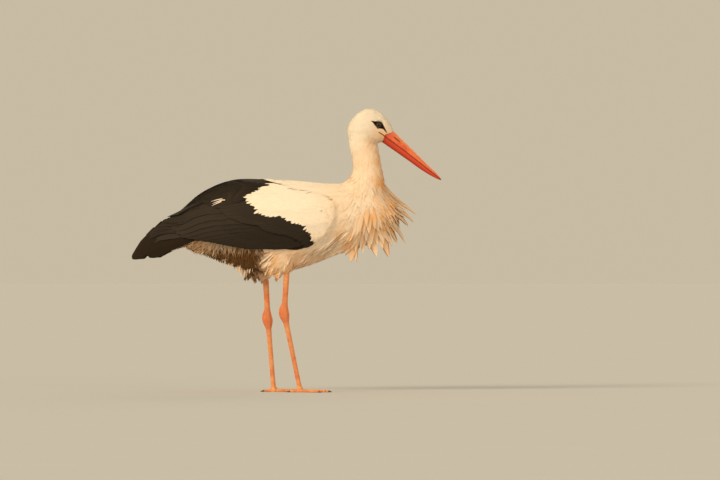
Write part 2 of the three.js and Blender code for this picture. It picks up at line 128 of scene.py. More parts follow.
def off_line(line, points):
    """The nearest places on an open line: how far along it they lie, and the ways from them to the points and on."""
    near, along = np.full(points.shape[:-1], 1e9), np.zeros(points.shape[:-1])
    off, ways, total = np.zeros(points.shape), np.zeros(points.shape), 0.0
    for start, end in zip(line, line[1:]):
        length = np.linalg.norm(end - start)
        ahead = (end - start) / length
        run = np.clip((points - start) @ ahead, 0, length)
        out = points - start - run[..., None] * ahead
        far = (out**2).sum(-1)
        better = far < near
        near, along = np.where(better, far, near), np.where(better, total + run, along)
        off, ways = np.where(better[..., None], out, off), np.where(better[..., None], ahead, ways)
        total += length
    return along, off, ways


def near_line(line, points):
    """How far places lie from an open line in the side view."""
    return np.linalg.norm(off_line(line, points[..., [0, 2]])[1], axis=-1)


def along_line(line, share):
    """Places at shares of the length of an open line of points."""
    steps = spans(line)
    run = np.concatenate([[0], np.cumsum(steps)]) / steps.sum()
    return np.stack([np.interp(share, run, line[:, k]) for k in range(line.shape[1])], -1)


# ---- meshes
def gathered(items, key, width=3, kind=np.float32):
    """One property of a mesh's vertices, edges or faces, as rows of numbers."""
    values = np.empty(len(items) * width, kind)
    items.foreach_get(key, values)
    return values.reshape(-1, width)


def coordinates(mesh):
    return gathered(mesh.vertices, "co").astype(float)


def vertex_normals(mesh):
    return gathered(mesh.vertex_normals, "vector").astype(float)


def move_vertices(mesh, points):
    mesh.vertices.foreach_set("co", np.asarray(points, np.float32).ravel())
    mesh.shade_smooth()
    mesh.update()


def add_object(name, data):
    made = bpy.data.objects.new(name, data)
    bpy.context.scene.collection.objects.link(made)
    return made


STEP_IN, STEP_OUT = 0.62, -0.64  # in turn they even a mesh without shrinking it


def relax(mesh, rounds, second=STEP_OUT):
    """Moves each corner a step towards the middle of its neighbours, with a first and a second step in turn."""
    edges, co = gathered(mesh.edges, "vertices", 2, np.int32), coordinates(mesh)
    a, b = edges.T
    degree = np.bincount(edges.ravel(), minlength=len(co))[:, None]
    for step in range(rounds):
        total = [np.bincount(a, co[b, k], len(co)) + np.bincount(b, co[a, k], len(co)) for k in range(3)]
        co += (np.stack(total, 1) / degree - co) * (second if step % 2 else STEP_IN)
    move_vertices(mesh, co)


def remeshed(name, nodes, voxel, rounds, swell=0.3 * MM):
    """One even closed mesh over several CAD nodes, each grown a little so that they run into each other."""
    bm = bmesh.new()
    for node in nodes:
        bm.from_mesh(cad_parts[node].data)
    bmesh.ops.remove_doubles(bm, verts=bm.verts, dist=1e-6)
    bm.normal_update()
    for vertex in bm.verts:
        vertex.co += vertex.normal * swell
    rough = bpy.data.meshes.new(name + "_rough")
    bm.to_mesh(rough)
    bm.free()
    holder = add_object(name + "_rough", rough)
    modifier = holder.modifiers.new("Remesh", "REMESH")
    modifier.mode = "VOXEL"
    modifier.voxel_size = voxel
    graph = bpy.context.evaluated_depsgraph_get()
    mesh = bpy.data.meshes.new_from_object(holder.evaluated_get(graph))
    mesh.name = name
    bpy.data.objects.remove(holder)
    bpy.data.meshes.remove(rough)
    relax(mesh, rounds)
    return mesh


def ring_grid(rings, corners):
    """Numbers of the corners of closed rings, and the quads between the rings."""
    grid = np.arange(rings * corners).reshape(rings, corners)
    after = np.roll(grid, -1, 1)
    return grid, after, np.stack([grid[:-1], after[:-1], after[1:], grid[1:]], -1).reshape(-1, 4)


def mesh_from(name, points, *kinds):
    """A mesh from points and kinds of faces, each given as rows of corner numbers."""
    mesh = bpy.data.meshes.new(name)
    faces = np.concatenate([rows.ravel() for rows in kinds]).astype(np.int32)
    sizes = np.concatenate([np.full(len(rows), rows.shape[1]) for rows in kinds])
    mesh.vertices.add(len(points))
    mesh.loops.add(faces.size)
    mesh.loops.foreach_set("vertex_index", faces)
    mesh.polygons.add(len(sizes))
    mesh.polygons.foreach_set("loop_start", (np.cumsum(sizes) - sizes).astype(np.int32))
    mesh.update(calc_edges=True)
    move_vertices(mesh, points)
    return mesh


def set_values(mesh, name, values):
    """A number for each vertex, for the materials to read."""
    layer = mesh.attributes.new(name, "FLOAT", "POINT")
    layer.data.foreach_set("value", np.asarray(values, np.float32))


def set_map(mesh, name, places):
    """A UV map from one place for each vertex."""
    corners = gathered(mesh.loops, "vertex_index", 1, np.int32)[:, 0]
    layer = mesh.uv_layers.new(name=name, do_init=False)
    layer.uv.foreach_set("vector", np.asarray(places, np.float32)[corners].ravel())


def add_piece(name, mesh, material, replaces=()):
    """Puts a finished mesh in the scene as a piece of the bird."""
    piece = add_object(name, mesh)
    mesh.materials.append(material)
    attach(piece, "root")
    if replaces:
        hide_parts(*replaces)
    return piece


# ---- surfaces that carry feathers
TRIES = 7  # random places for each one that there is room for


class Ground:
    """A smooth closed surface that feathers are laid on."""

    def __init__(self, mesh):
        mesh.calc_loop_triangles()
        self.mesh, self.points, self.normals = mesh, coordinates(mesh), vertex_normals(mesh)
        self.faces = gathered(mesh.loop_triangles, "vertices", 3, np.int32)
        self.tree = BVHTree.FromPolygons(self.points.tolist(), self.faces.tolist())

    def nearest(self, places):
        """The nearest places on the surface, with its smooth normals there."""
        found = [self.tree.find_nearest(place) for place in places.tolist()]
        at = np.array([hit[0] for hit in found])
        corners = self.faces[[hit[2] for hit in found]]
        a, b, c = (self.points[corners[:, k]] for k in range(3))
        whole = np.linalg.norm(np.cross(b - a, c - a), axis=1) + 1e-15
        shares = [np.linalg.norm(np.cross(q - at, r - at), axis=1) / whole for q, r in ((b, c), (c, a), (a, b))]
        normals = sum(self.normals[corners[:, k]] * shares[k][:, None] for k in range(3))
        return at, unit(normals)

    def half_width(self, x, z, side):
        """How far out the surface lies on one side at side-view places, and 0 outside its outline."""
        hits = [self.tree.ray_cast((a, side, b), (0, -side, 0))[0] for a, b in zip(x.flat, z.flat)]
        return np.reshape([max(hit[1] * side, 0) if hit else 0.0 for hit in hits], x.shape)

    def scatter(self, wanted, spacing, rng):
        """Random places on the surface where wanted(places, normals) holds, no two nearer than their spacing."""
        apart = spacing if callable(spacing) else lambda at: np.full(len(at), spacing)
        a, b, c = (self.points[self.faces[:, k]] for k in range(3))
        middle, cross = (a + b + c) / 3, np.cross(b - a, c - a)
        area = np.linalg.norm(cross, axis=1) / 2
        weight = np.where(wanted(middle, unit(cross)), area / apart(middle) ** 2, 0)
        count = int(weight.sum() * TRIES)
        picked = rng.choice(len(area), count, p=weight / weight.sum())
        u, v = rng.random(count), rng.random(count)
        u, v = np.where(u + v > 1, 1 - u, u), np.where(u + v > 1, 1 - v, v)
        places = a[picked] + (b - a)[picked] * u[:, None] + (c - a)[picked] * v[:, None]
        places = places[wanted(places, unit(cross)[picked])]
        return places[thinned(places, apart(places))]


def thinned(places, apart):
    """Which places to keep so that none is nearer to an earlier one than its own distance."""
    cell = apart.max()
    keys = np.floor(places / cell).astype(int).tolist()
    near = [(i, j, k) for i in (-1, 0, 1) for j in (-1, 0, 1) for k in (-1, 0, 1)]
    taken, kept = {}, []
    for index, (place, (i, j, k), gap) in enumerate(zip(places.tolist(), keys, (apart**2).tolist())):
        for di, dj, dk in near:
            others = taken.get((i + di, j + dj, k + dk), ())
            if any((x - place[0]) ** 2 + (y - place[1]) ** 2 + (z - place[2]) ** 2 < gap for x, y, z in others):
                break
        else:
            taken.setdefault((i, j, k), []).append(place)
            kept.append(index)
    return kept


FINENESS = {"voxel": 3 * MM, "rounds": 24}  # of the surfaces that feathers are laid on


@lru_cache
def flesh():
    return Ground(remeshed("flesh", FLESH, **FINENESS))


# where the body meets the upper and front edges of the wings, in the side view
WING_SEAM = mm([-40, 528], [-18, 522], [7, 509], [60, 496], [98, 484], [117, 470], [124, 450], [116, 420], [99, 392])


@lru_cache
def cover():
    """The outside of the whole feathered body, wings and all, with the grooves filled where they meet the body."""
    wings = [f"{node}_{side}" for node in WING_NODES for side in SIDES]
    mesh = remeshed("cover", FLESH + wings, **FINENESS)
    points, normals = coordinates(mesh), vertex_normals(mesh)
    relax(mesh, 40, STEP_IN)
    rise = ((coordinates(mesh) - points) * normals).sum(1)
    near = fading(near_line(WING_SEAM, points), 16 * MM)
    move_vertices(mesh, points + normals * (np.clip(rise, 0, 8 * MM) * near)[:, None])
    return Ground(mesh)


# ---- how the coat lies
# [x, distance from the middle plane, z, all in millimetres, then the way the feathers point there]
LIE = [
    [262, 0, 660, -0.75, 0.1, 0.65], [250, 8, 676, -0.85, 0.1, 0.4], [235, 0, 696, -1, 0, 0.25],
    [200, 0, 708, -1, 0, -0.05], [176, 0, 698, -0.75, 0, -0.65], [157, 0, 676, -0.35, 0, -1],
    [152, 0, 650, 0.05, 0, -1], [250, 14, 652, -0.95, 0.1, 0.15], [232, 21, 683, -1, 0.1, 0.1],
    [225, 24, 648, -0.9, 0.1, -0.4], [205, 25, 665, -0.95, 0, -0.25], [240, 14, 634, -0.9, 0.1, -0.2],
    [236, 0, 625, -0.85, 0, -0.35], [185, 26, 655, -0.6, 0, -0.8], [205, 26, 632, -0.5, 0, -0.85],
    [227, 0, 615, -0.15, 0, -1], [200, 27, 600, -0.03, 0, -1], [160, 0, 595, 0.12, 0, -1],
    [230, 0, 585, 0.05, 0, -1], [168, 0, 560, 0, 0, -1], [200, 33, 560, 0, 0.05, -1],
    [236, 0, 556, 0.28, 0, -1], [160, 8, 538, -0.5, 0, -0.9], [145, 0, 524, -0.95, 0, -0.3],
    [120, 0, 521, -1, 0, 0], [120, 45, 512, -1, 0.12, -0.15], [170, 40, 518, -0.65, 0.2, -0.8],
    [200, 45, 515, 0.05, 0.1, -1], [244, 18, 528, 0.45, 0.1, -0.9], [252, 14, 500, 0.7, 0.1, -0.7],
    [262, 0, 470, 0.72, 0, -0.7], [225, 45, 490, 0.3, 0.1, -0.95], [245, 30, 455, 0.45, 0.1, -0.9],
    [262, 0, 440, 0.55, 0, -0.83], [245, 0, 408, 0.3, 0, -0.95], [215, 30, 390, 0.05, 0, -1],
    [205, 60, 440, -0.02, 0.05, -1], [180, 40, 375, -0.35, 0, -0.94], [165, 68, 450, -0.25, 0.1, -0.97],
    [150, 60, 390, -0.65, 0, -0.76], [150, 70, 485, -0.45, 0.1, -0.85], [125, 70, 400, -0.78, 0, -0.62],
    [115, 30, 345, -0.9, 0, -0.4], [60, 30, 318, -0.93, 0, -0.35], [60, 85, 370, -0.82, 0, -0.57],
    [30, 60, 330, -0.82, 0, -0.57], [0, 0, 303, -1, 0, 0], [-60, 40, 305, -0.9, 0, -0.2],
    [-140, 30, 326, -0.9, 0, -0.35], [-230, 20, 361, -1, 0, -0.1], [0, 0, 532, -1, 0, 0],
    [0, 50, 518, -1, 0.05, -0.1], [-150, 0, 525, -1, 0, -0.15], [-260, 0, 455, -0.85, 0, -0.5],
    [0, 95, 420, -0.95, 0, -0.3], [-140, 80, 420, -1, 0, -0.05],
]
# the same on the outside of the folded wings
WING_LIE = [
    [120, 80, 470, -0.75, 0.1, -0.35], [124, 80, 450, -0.75, 0.1, -0.65], [110, 85, 420, -0.75, 0, -0.7],
    [90, 88, 390, -0.8, 0, -0.6], [70, 95, 375, -0.8, 0, -0.6], [80, 80, 492, -0.97, 0.1, -0.2],
    [60, 95, 440, -0.85, 0, -0.55], [50, 100, 400, -0.8, 0, -0.6], [0, 60, 510, -0.98, 0.05, -0.15],
    [0, 100, 470, -0.95, 0, -0.3], [10, 100, 440, -0.9, 0, -0.45], [-60, 85, 490, -0.98, 0, -0.2],
    [-60, 100, 455, -0.93, 0, -0.35], [-120, 60, 505, -1, 0, -0.15], [-150, 90, 450, -1, 0, -0.15],
    [-250, 60, 400, -1, 0, -0.2], [-100, 95, 400, -1, 0, -0.05],
]
# the same for the long plumes of the breast, which part to the front and back like a fan
PLUME_LIE = [
    [238, 0, 560, 0.2, 0.05, -0.98], [243, 0, 535, 0.35, 0.05, -0.93], [249, 0, 514, 0.48, 0.05, -0.87],
    [259, 0, 498, 0.68, 0.05, -0.74], [273, 0, 483, 0.76, 0.05, -0.65], [296, 0, 465, 0.8, 0.05, -0.6],
    [232, 0, 500, 0.5, 0.06, -0.86], [255, 0, 470, 0.75, 0.05, -0.66], [280, 0, 445, 0.82, 0.05, -0.57],
    [240, 0, 460, 0.62, 0.06, -0.78], [265, 0, 430, 0.68, 0.05, -0.73], [285, 0, 400, 0.5, 0.05, -0.87],
    [225, 0, 540, 0.2, 0.05, -0.98],
    [215, 0, 500, 0.3, 0.08, -0.95], [225, 0, 450, 0.38, 0.08, -0.92], [245, 0, 410, 0.42, 0.05, -0.9],
    [262, 0, 385, 0.42, 0.05, -0.9], [200, 0, 520, 0, 0.08, -1], [200, 0, 460, 0.02, 0.08, -1],
    [215, 0, 400, 0.15, 0.05, -0.98], [235, 0, 360, 0.25, 0.03, -0.97], [180, 0, 500, -0.3, 0.08, -0.95],
    [180, 0, 440, -0.15, 0.08, -0.98], [185, 0, 380, -0.1, 0.03, -0.99], [185, 0, 345, 0, 0, -1],
    [155, 0, 480, -0.5, 0.08, -0.87], [155, 0, 430, -0.48, 0.08, -0.88], [150, 0, 380, -0.55, 0, -0.83],
    [130, 0, 360, -0.7, 0, -0.71], [135, 0, 450, -0.6, 0.05, -0.8], [120, 0, 410, -0.75, 0, -0.66],
]


def guided(guides, points):
    """The way feathers point at places on the body, blended from the nearest guides."""
    guides = np.array(guides, float)
    apart = points.copy()
    apart[:, 1] = np.abs(apart[:, 1])
    far = ((apart[:, None] - guides[None, :, :3] * MM) ** 2).sum(-1)
    weight = 1 / (far + (9 * MM) ** 2) ** 2
    ways = (weight / weight.sum(1, keepdims=True)) @ guides[:, 3:]
    ways[:, 1] *= np.sign(points[:, 1])
    return unit(ways)


body_lie, wing_lie = partial(guided, LIE), partial(guided, WING_LIE)


def plume_lie(points):
    flat = guided(PLUME_LIE, points * [1, 0, 1])
    flat[:, 1] = 0.08 * np.sign(points[:, 1])
    return unit(flat)


# the middle line of the bird from the forehead to the rump, round which its skin is unrolled
SPINE = mm([262, 652], [215, 668], [186, 650], [196, 605], [201, 560], [185, 490], [110, 430], [-20, 418], [-288, 405])


def unrolled(points):
    """Places along and round the middle line of the body, each from 0 to 1 or so."""
    along, off, ahead = off_line(SPINE, points[:, [0, 2]])
    around = np.arctan2(points[:, 1], off[:, 0] * ahead[:, 1] - off[:, 1] * ahead[:, 0])
    return np.stack([along / spans(SPINE).sum(), around / (2 * np.pi) + 0.5], 1)


def fitted(places):
    """Places on an unwrap, spread over the whole of its image."""
    low, high = places.min(0), places.max(0)
    return 0.01 + 0.97 * (places - low) / np.maximum(high - low, 1e-9)


# spots on the coat as [x, z, reach, strength] in the side view: buff on the face, the neck's front, the breast's
# plumes and the underside, partly a real stain and partly painted warm shade, most on the belly, flanks, thighs and
# vent, with three small spots at x 207 to 222 that paint the shadow under the jaw's fold; and brown painted shade on
# the down behind the thighs and under the tail
BUFF_AND_WARM_SHADE = [[240, 641, 18, 0.8], [228, 648, 16, 0.5], [207, 639, 6, 0.5], [214, 634, 6, 0.65], [222, 629, 7, 0.7],
        [216, 610, 32, 0.65], [190, 580, 42, 0.5], [232, 588, 24, 1.1], [234, 552, 28, 1.35], [240, 505, 36, 1.3],
        [262, 465, 40, 1.3], [226, 440, 52, 1.6], [205, 400, 46, 1.25], [180, 540, 44, 0.5], [160, 430, 50, 0.6],
        [150, 480, 50, 0.45], [110, 345, 50, 0.9], [60, 330, 60, 1.1], [0, 320, 55, 1.1], [-25, 300, 50, 0.95],
        [-60, 310, 55, 1.0], [-130, 320, 80, 1.3], [-215, 350, 70, 1.3]]
# painted brown shade on the down behind the thighs and under the tail
BROWN_SHADE_SPOTS = [[-90, 350, 42, 1.5], [-118, 345, 44, 1.4], [-88, 325, 28, 1.0], [-155, 356, 38, 1.1], [-200, 366, 34, 0.5]]


def spot_amount(points, spots):
    """How strong given spots are at places on the body: buff stain with painted warm shade, and brown painted shade."""
    amount = np.zeros(len(points))
    for x, z, reach, strength in spots:
        far = np.hypot(points[:, 0] - x * MM, points[:, 2] - z * MM)
        amount = np.maximum(amount, strength * fading(far, reach * MM))
    return amount


# ---- feathers
# a feather's outline: [share of its length, share of its half-width]
TUFT = np.array([[0, 0.5], [0.4, 1], [0.75, 0.65], [1, 0.06]])
CONTOUR = np.array([[0, 0.3], [0.35, 0.85], [0.65, 1], [0.87, 0.78], [1, 0.2]])
POINTED = np.array([[0, 0.3], [0.35, 0.85], [0.6, 1], [0.8, 0.8], [0.93, 0.45], [1, 0.08]])
LANCE = np.array([[0, 0.4], [0.18, 0.75], [0.36, 0.95], [0.54, 1], [0.7, 0.86], [0.84, 0.55], [0.94, 0.25], [1, 0.03]])
FLIGHT = np.array([[0, 0.3], [0.1, 0.62], [0.25, 0.85], [0.42, 0.96], [0.6, 1], [0.75, 0.97], [0.86, 0.84],
                   [0.94, 0.58], [0.985, 0.28], [1, 0.05]])
# a vane's section from its left edge over the top: [share of the half-width, share of the thickness]
THIN = np.array([[-1, 0.3], [0, 1], [1, 0.3], [1, -0.3], [-1, -0.3]])
SHAFTED = np.array([[-1, 0.3], [-0.5, 0.7], [-0.07, 0.85], [0, 1.8], [0.07, 0.85], [0.5, 0.7], [1, 0.3], [1, -0.3],
                    [-1, -0.3]])
TUFT_PATCH = 0.003  # how much of the unwrap's width each small feather takes


def eased(ways, normals, firm):
    """Ways without the part that goes into a surface, and without a share `firm` of the part that leaves it."""
    rise = (ways * normals).sum(-1, keepdims=True)
    return ways - normals * np.where(rise > 0, rise * firm, rise)


def laid_lines(ground, roots, lie, length, shares, turn, hold=1.0, droop=0.0):
    """Middle lines of feathers that follow a surface from their roots.

    `hold` says how firmly each part of a feather keeps to the surface, from 0 to 1, and `droop` how much its
    free end bends to the ground. Returns places and normals along the lines.
    """
    at, normal = ground.nearest(roots)
    hold = np.broadcast_to(hold, (len(roots), len(shares)))
    ahead = turned(unit(eased(lie(at), normal, hold[:, :1])), normal, turn)
    lines, normals = [at], [normal]
    for k in range(1, len(shares)):
        firm = hold[:, k, None]
        free = at + ahead * (length * (shares[k] - shares[k - 1]))[:, None]
        on, new = ground.nearest(free)
        above = ((free - on) * new).sum(-1, keepdims=True) > 0
        at = free + (on - free) * np.where(above, firm, 1)
        normal = unit(normal + (new - normal) * np.maximum(firm, 0.2))
        way = turned(unit(eased(lie(at), normal, firm)), normal, turn)
        ahead = unit(ahead + (way - ahead) * 0.5)
        ahead = unit(eased(ahead, normal, firm) + [0, 0, -droop * shares[k]])
        lines.append(at)
        normals.append(normal)
    return np.stack(lines, 1), np.stack(normals, 1)


def traced(tips, lie, length, shares):
    """Lines in the side view that end at tips and follow the lie back to their roots."""
    at, line = tips, [tips]
    for k in range(len(shares) - 1, 0, -1):
        at = at - unit(lie(at) * [1, 0, 1]) * (length * (shares[k] - shares[k - 1]))[:, None]
        line.append(at)
    return np.stack(line[::-1], 1)


def reach_within(outline, places, lie, most):
    """How far the lie can be followed before it leaves a side-view outline."""
    step = 4 * MM
    at, far, inside = places.copy(), np.zeros(len(places)), np.ones(len(places), bool)
    for _ in range(int(most / step)):
        at = at + unit(lie(at) * [1, 0, 1]) * step
        inside &= inside_outline(outline, at)
        far += inside * step
    return far


def raised(lines, normals, shares, sink, lift):
    """Lines that start `sink` under the surface and end `lift` over it."""
    shares = shares[None, :, None]
    sink, lift = np.reshape(sink, (-1, 1, 1)), np.reshape(lift, (-1, 1, 1))
    return lines + normals * (lift * shares**2 - sink * (1 - shares) ** 3)


class Coat:
    """Feathers gathered into one mesh, with the values and maps that the materials read.

    `soft` is how far each feather is lit as the surface under it, as fine barbs let light through.
    """

    def __init__(self, name, soft=0.7):
        self.name, self.soft, self.parts = name, soft, []

    def add(self, lines, normals, outline, section, width, thick, places, tone, buff=0.0, dark=0.0, camber=0.1,
            skew=0.0, notch=1.0, strips=False):
        """Adds closed thin vanes along middle lines of (feathers, stations, 3)."""
        ahead = unit(np.gradient(lines, axis=1))
        across = unit(np.cross(normals, ahead))
        lift = unit(np.cross(ahead, across))
        half = outline[None, :, 1] * np.broadcast_to(width, len(lines))[:, None] / 2 * notch
        widest = np.maximum(half.max(1)[:, None, None], 1e-9)
        side = section[None, None, :, 0] * half[:, :, None]
        side = side * (1 + np.reshape(skew, (-1, 1, 1)) * np.sign(side))
        high = section[None, None, :, 1] * np.reshape(thick, (-1, 1, 1)) / 2 * (0.35 + 0.65 * outline[None, :, None, 1])
        high = high - camber * side**2 / widest
        points = lines[:, :, None] + across[:, :, None] * side[..., None] + lift[:, :, None] * high[..., None]
        slope = 2 * camber * (side / widest)[..., None]
        facing = unit(lift[:, :, None] + across[:, :, None] * slope)
        facing = unit(facing * (1 - self.soft) + normals[:, :, None] * self.soft)

        length = spans(lines).sum(1)
        share = np.broadcast_to(outline[None, :, None, 0], side.shape)
        spread = side / np.maximum(np.abs(side).max((1, 2), keepdims=True), 1e-9)
        patch = np.stack([0.5 + 0.5 * spread, share], -1)
        if strips:
            column = np.arange(len(lines))[:, None, None]
            patch = np.stack([(column + 0.1 + 0.8 * patch[..., 0]) / len(lines), 0.02 + 0.96 * share], -1)
        grid = np.arange(side.size).reshape(side.shape)
        near, far = grid[:, :-1], grid[:, 1:]
        # buff holds the buff stain with painted warm shade, and dark the painted brown shade that white feathers mix in
        values = {"tone": tone, "buff": buff, "dark": dark}
        rows = {
            "points": points, "facing": facing * np.sign(section[None, None, :, 1:]), "patch": patch,
            "vane": np.stack([side, share * length[:, None, None]], -1),
            "place": np.broadcast_to(places[:, None, None], (*side.shape, 2)),
        }
        self.parts.append({
            "walls": np.stack([near, far, np.roll(far, -1, 2), np.roll(near, -1, 2)], -1).reshape(-1, 4),
            "caps": np.concatenate([grid[:, 0], grid[:, -1, ::-1]]), "strips": strips, "share": share.ravel(),
            **{name: row.reshape(-1, row.shape[-1]) for name, row in rows.items()},
            **{name: (np.reshape(value, (-1, 1, 1)) + 0 * side).ravel() for name, value in values.items()},
        })

    def build(self, replaces=(), material=None):
        def whole(name):
            return np.concatenate([part[name] for part in self.parts])

        before = np.cumsum([0] + [len(part["points"]) for part in self.parts])
        kinds = [part[kind] + first for part, first in zip(self.parts, before) for kind in ("walls", "caps")]
        mesh = mesh_from(self.name, whole("points"), *kinds)
        for name in ("tone", "buff", "dark", "share"):
            set_values(mesh, name, whole(name))
        set_map(mesh, "Vane", whole("vane"))
        strips = self.parts[0]["strips"]
        set_map(mesh, "OFBake", whole("patch") if strips else fitted(whole("place")) + whole("patch") * TUFT_PATCH)
        corners = np.concatenate([rows.ravel() for rows in kinds])
        layer = mesh.attributes.new("custom_normal", "FLOAT_VECTOR", "CORNER")
        layer.data.foreach_set("vector", whole("facing")[corners].astype(np.float32).ravel())
        mesh.update()
        return add_piece(self.name, mesh, material or white_keratin(), replaces)


def grow(coat, ground, roots, lie, outline, length, width, rng, *, sink, lift, thick=0.28 * MM, stray=0.1, hold=1.0,
         droop=0.0, camber=0.08, tone=0.4, spread=0.25, drop=None):
    """Adds feathers that grow from roots on a surface, each a little different from its neighbours."""
    count = len(roots)
    length = length * rng.uniform(0.86, 1.14, count)
    width = width * rng.uniform(0.85, 1.15, count)
    turn = rng.normal(0, stray, count)
    lines, normals = laid_lines(ground, roots, lie, length, outline[:, 0], turn, hold, droop)
    lift = lift * rng.uniform(0.3, 1.7, count)
    lines = raised(lines, normals, outline[:, 0], sink * rng.uniform(0.8, 1.2, count), lift)
    tones = np.clip(rng.normal(tone, spread, count), -1, 1)
    keep = np.ones(count, bool) if drop is None else ~drop(lines)
    # each feather takes the buff stain with painted warm shade, and the brown painted shade, from the spots at its root
    coat.add(lines[keep], normals[keep], outline, THIN, width[keep], thick, unrolled(roots[keep]), tones[keep],
             spot_amount(roots[keep], BUFF_AND_WARM_SHADE), spot_amount(roots[keep], BROWN_SHADE_SPOTS), camber=camber)


# ---- materials
def linear(colour):
    """An sRGB hex colour as linear red, green, blue and alpha."""
    parts = [int(colour.lstrip("#")[i : i + 2], 16) / 255 for i in (0, 2, 4)]
    return [c / 12.92 if c <= 0.04045 else ((c + 0.055) / 1.055) ** 2.4 for c in parts] + [1]


def set_node(node, settings=None, links=None):
    """Sets a node's properties or its inputs' values, and feeds inputs from nodes or sockets."""
    for name, value in (settings or {}).items():
        if isinstance(name, str) and hasattr(node, name):
            setattr(node, name, value)
        else:
            node.inputs[name].default_value = value
    for name, source in (links or {}).items():
        if isinstance(source, bpy.types.Node):
            source = next(socket for socket in source.outputs if not socket.is_unavailable)
        node.id_data.links.new(source, node.inputs[name])
    return node


def add_node(tree, kind, settings=None, links=None):
    """Adds a node of a kind with its settings and links."""
    return set_node(tree.nodes.new("ShaderNode" + kind), settings, links)


def new_material(name, *values):
    """Starts a material that reads some of its mesh's values.

    Returns the user's colours, the material, what adds its nodes, its shader, its places and then the values.
    """
    material = bpy.data.materials.get(name) or bpy.data.materials.new(name)
    material.use_nodes = True
    material.node_tree.nodes.clear()
    add = partial(add_node, material.node_tree)
    shader = add("BsdfPrincipled")
    add("OutputMaterial", links={"Surface": shader})
    place = add("TexCoord").outputs["Object"]
    reads = [add("Attribute", {"attribute_name": value}) for value in values]
    return bpy.context.scene.stork_finishes, material, add, shader, place, *reads


def per(size):
    """A pattern's scale, from the size of its features in millimetres."""
    return 1 / (size * MM)


RGBA = {"data_type": "RGBA"}
TIMES = {"operation": "MULTIPLY"}
TIMES_PLUS = {"operation": "MULTIPLY_ADD"}
CLAMPED = {"use_clamp": True}
KERATIN = {"IOR": 1.54}
BARB = 1.4 * MM  # barbs stand 0.3 mm apart, which is too fine to show, so they are drawn this far apart


def barb_lines(add, slope, apart, strength):
    """The barbs of a vane, which slant out from its shaft, as a wave from -1 to 1 and as a bump."""
    split = add("SeparateXYZ", links={0: add("UVMap", {"uv_map": "Vane"})})
    out = add("Math", {"operation": "ABSOLUTE"}, {0: split.outputs[0]})
    slant = add("Math", TIMES_PLUS | {1: -slope}, {0: out, 2: split.outputs[1]})
    turns = add("Math", TIMES | {1: 2 * math.pi / apart}, {0: slant})
    barbs = add("Math", {"operation": "SINE"}, {0: turns})
    return barbs, add("Bump", {"Strength": strength, "Distance": 0.2 * MM}, {"Height": barbs})


def white_keratin(name="white_vane_keratin", roughness=0.8):
    """White feather keratin, grown as unpigmented barbs.

    Air in the barbs scatters light, so it looks matt and softly lit right to its edges. Buff, partly a real stain and
    partly painted warm shade, is strongest at the roots of the long plumes; painted brown shade darkens the feathers
    where they are marked dark; and the barbs show as fine slanting lines.
    """
    finish, material, add, shader, place, tone, buff, dark, share = new_material(name, "tone", "buff", "dark", "share")
    cloud = add("TexNoise", {"Scale": per(31.25), "Detail": 3.0}, {"Vector": place})
    barbs, bump = barb_lines(add, 1.1, BARB, 0.2)
    toned = add("Math", TIMES_PLUS | {1: 0.5, 2: 0.5}, {0: tone})
    lined = add("Math", TIMES_PLUS | CLAMPED | {1: 0.12}, {0: barbs, 2: toned})
    clean = add("Mix", RGBA | {6: finish.white_deep, 7: finish.white}, {0: lined})
    # the buff stain with painted warm shade grows paler towards each feather's tip, and comes in clouds
    paled = add("Math", TIMES_PLUS | {1: -0.5, 2: 1.0}, {0: share})
    patchy = add("Math", {"operation": "ADD", 1: 0.5}, {0: cloud})
    amount = add("Math", TIMES, {0: paled, 1: patchy})
    buff_and_shade_amount = add("Math", TIMES | CLAMPED, {0: buff, 1: amount})
    tinged = add("Mix", RGBA | {7: finish.buff}, {0: buff_and_shade_amount, 6: clean})
    # painted brown shade where the feather is marked dark
    shaded = add("Mix", RGBA | {7: finish.vent}, {0: dark, 6: tinged})
    set_node(shader, {"Roughness": roughness, **KERATIN, "Specular IOR Level": 0.2, "Sheen Weight": 0.12,
                      "Sheen Roughness": 0.5}, {"Base Color": shaded, "Normal": bump})
    return material


def black_keratin():
    """Black feather keratin, full of melanin and zipped into flat vanes.

    It is smoother than the white and has a faint satin gloss; its tips are bleached a little browner.
    """
    finish, material, add, shader, place, tone, share = new_material("black_vane_keratin", "tone", "share")
    cloud = add("TexNoise", {"Scale": per(27.8), "Detail": 4.0}, {"Vector": place})
    _, bump = barb_lines(add, 1.3, 1.3 * BARB, 0.25)
    tip = add("Math", {"operation": "POWER", 1: 8.0}, {0: share})
    bleach = add("Math", TIMES_PLUS | {1: 0.3}, {0: tone, 2: tip})
    wear = add("Math", TIMES | CLAMPED, {0: bleach, 1: cloud})
    colour = add("Mix", RGBA | {6: finish.black, 7: finish.black_worn}, {0: wear})
    set_node(shader, {"Roughness": 0.6, "IOR": 1.56, "Specular IOR Level": 0.2}, {"Base Color": colour, "Normal": bump})
    return material


def wing_down():
    """Downy bases of the wing's feathers, soft and unzipped: matt, white at the wing's front and sooty behind."""
    finish, material, add, shader, place, dark = new_material("wing_base_down", "dark")
    tufts = add("TexNoise", {"Scale": per(5), "Detail": 4.0}, {"Vector": place})
    pale = add("Mix", RGBA | {6: finish.white_deep, 7: finish.white}, {0: tufts})
    sooty = add("Mix", RGBA | {6: finish.black, 7: finish.black_worn}, {0: tufts})
    colour = add("Mix", RGBA, {0: dark, 6: pale, 7: sooty})
    bump = add("Bump", {"Strength": 0.5, "Distance": 0.5 * MM}, {"Height": tufts})
    set_node(shader, {"Roughness": 0.85, **KERATIN, "Specular IOR Level": 0.15}, {"Base Color": colour, "Normal": bump})
    return material


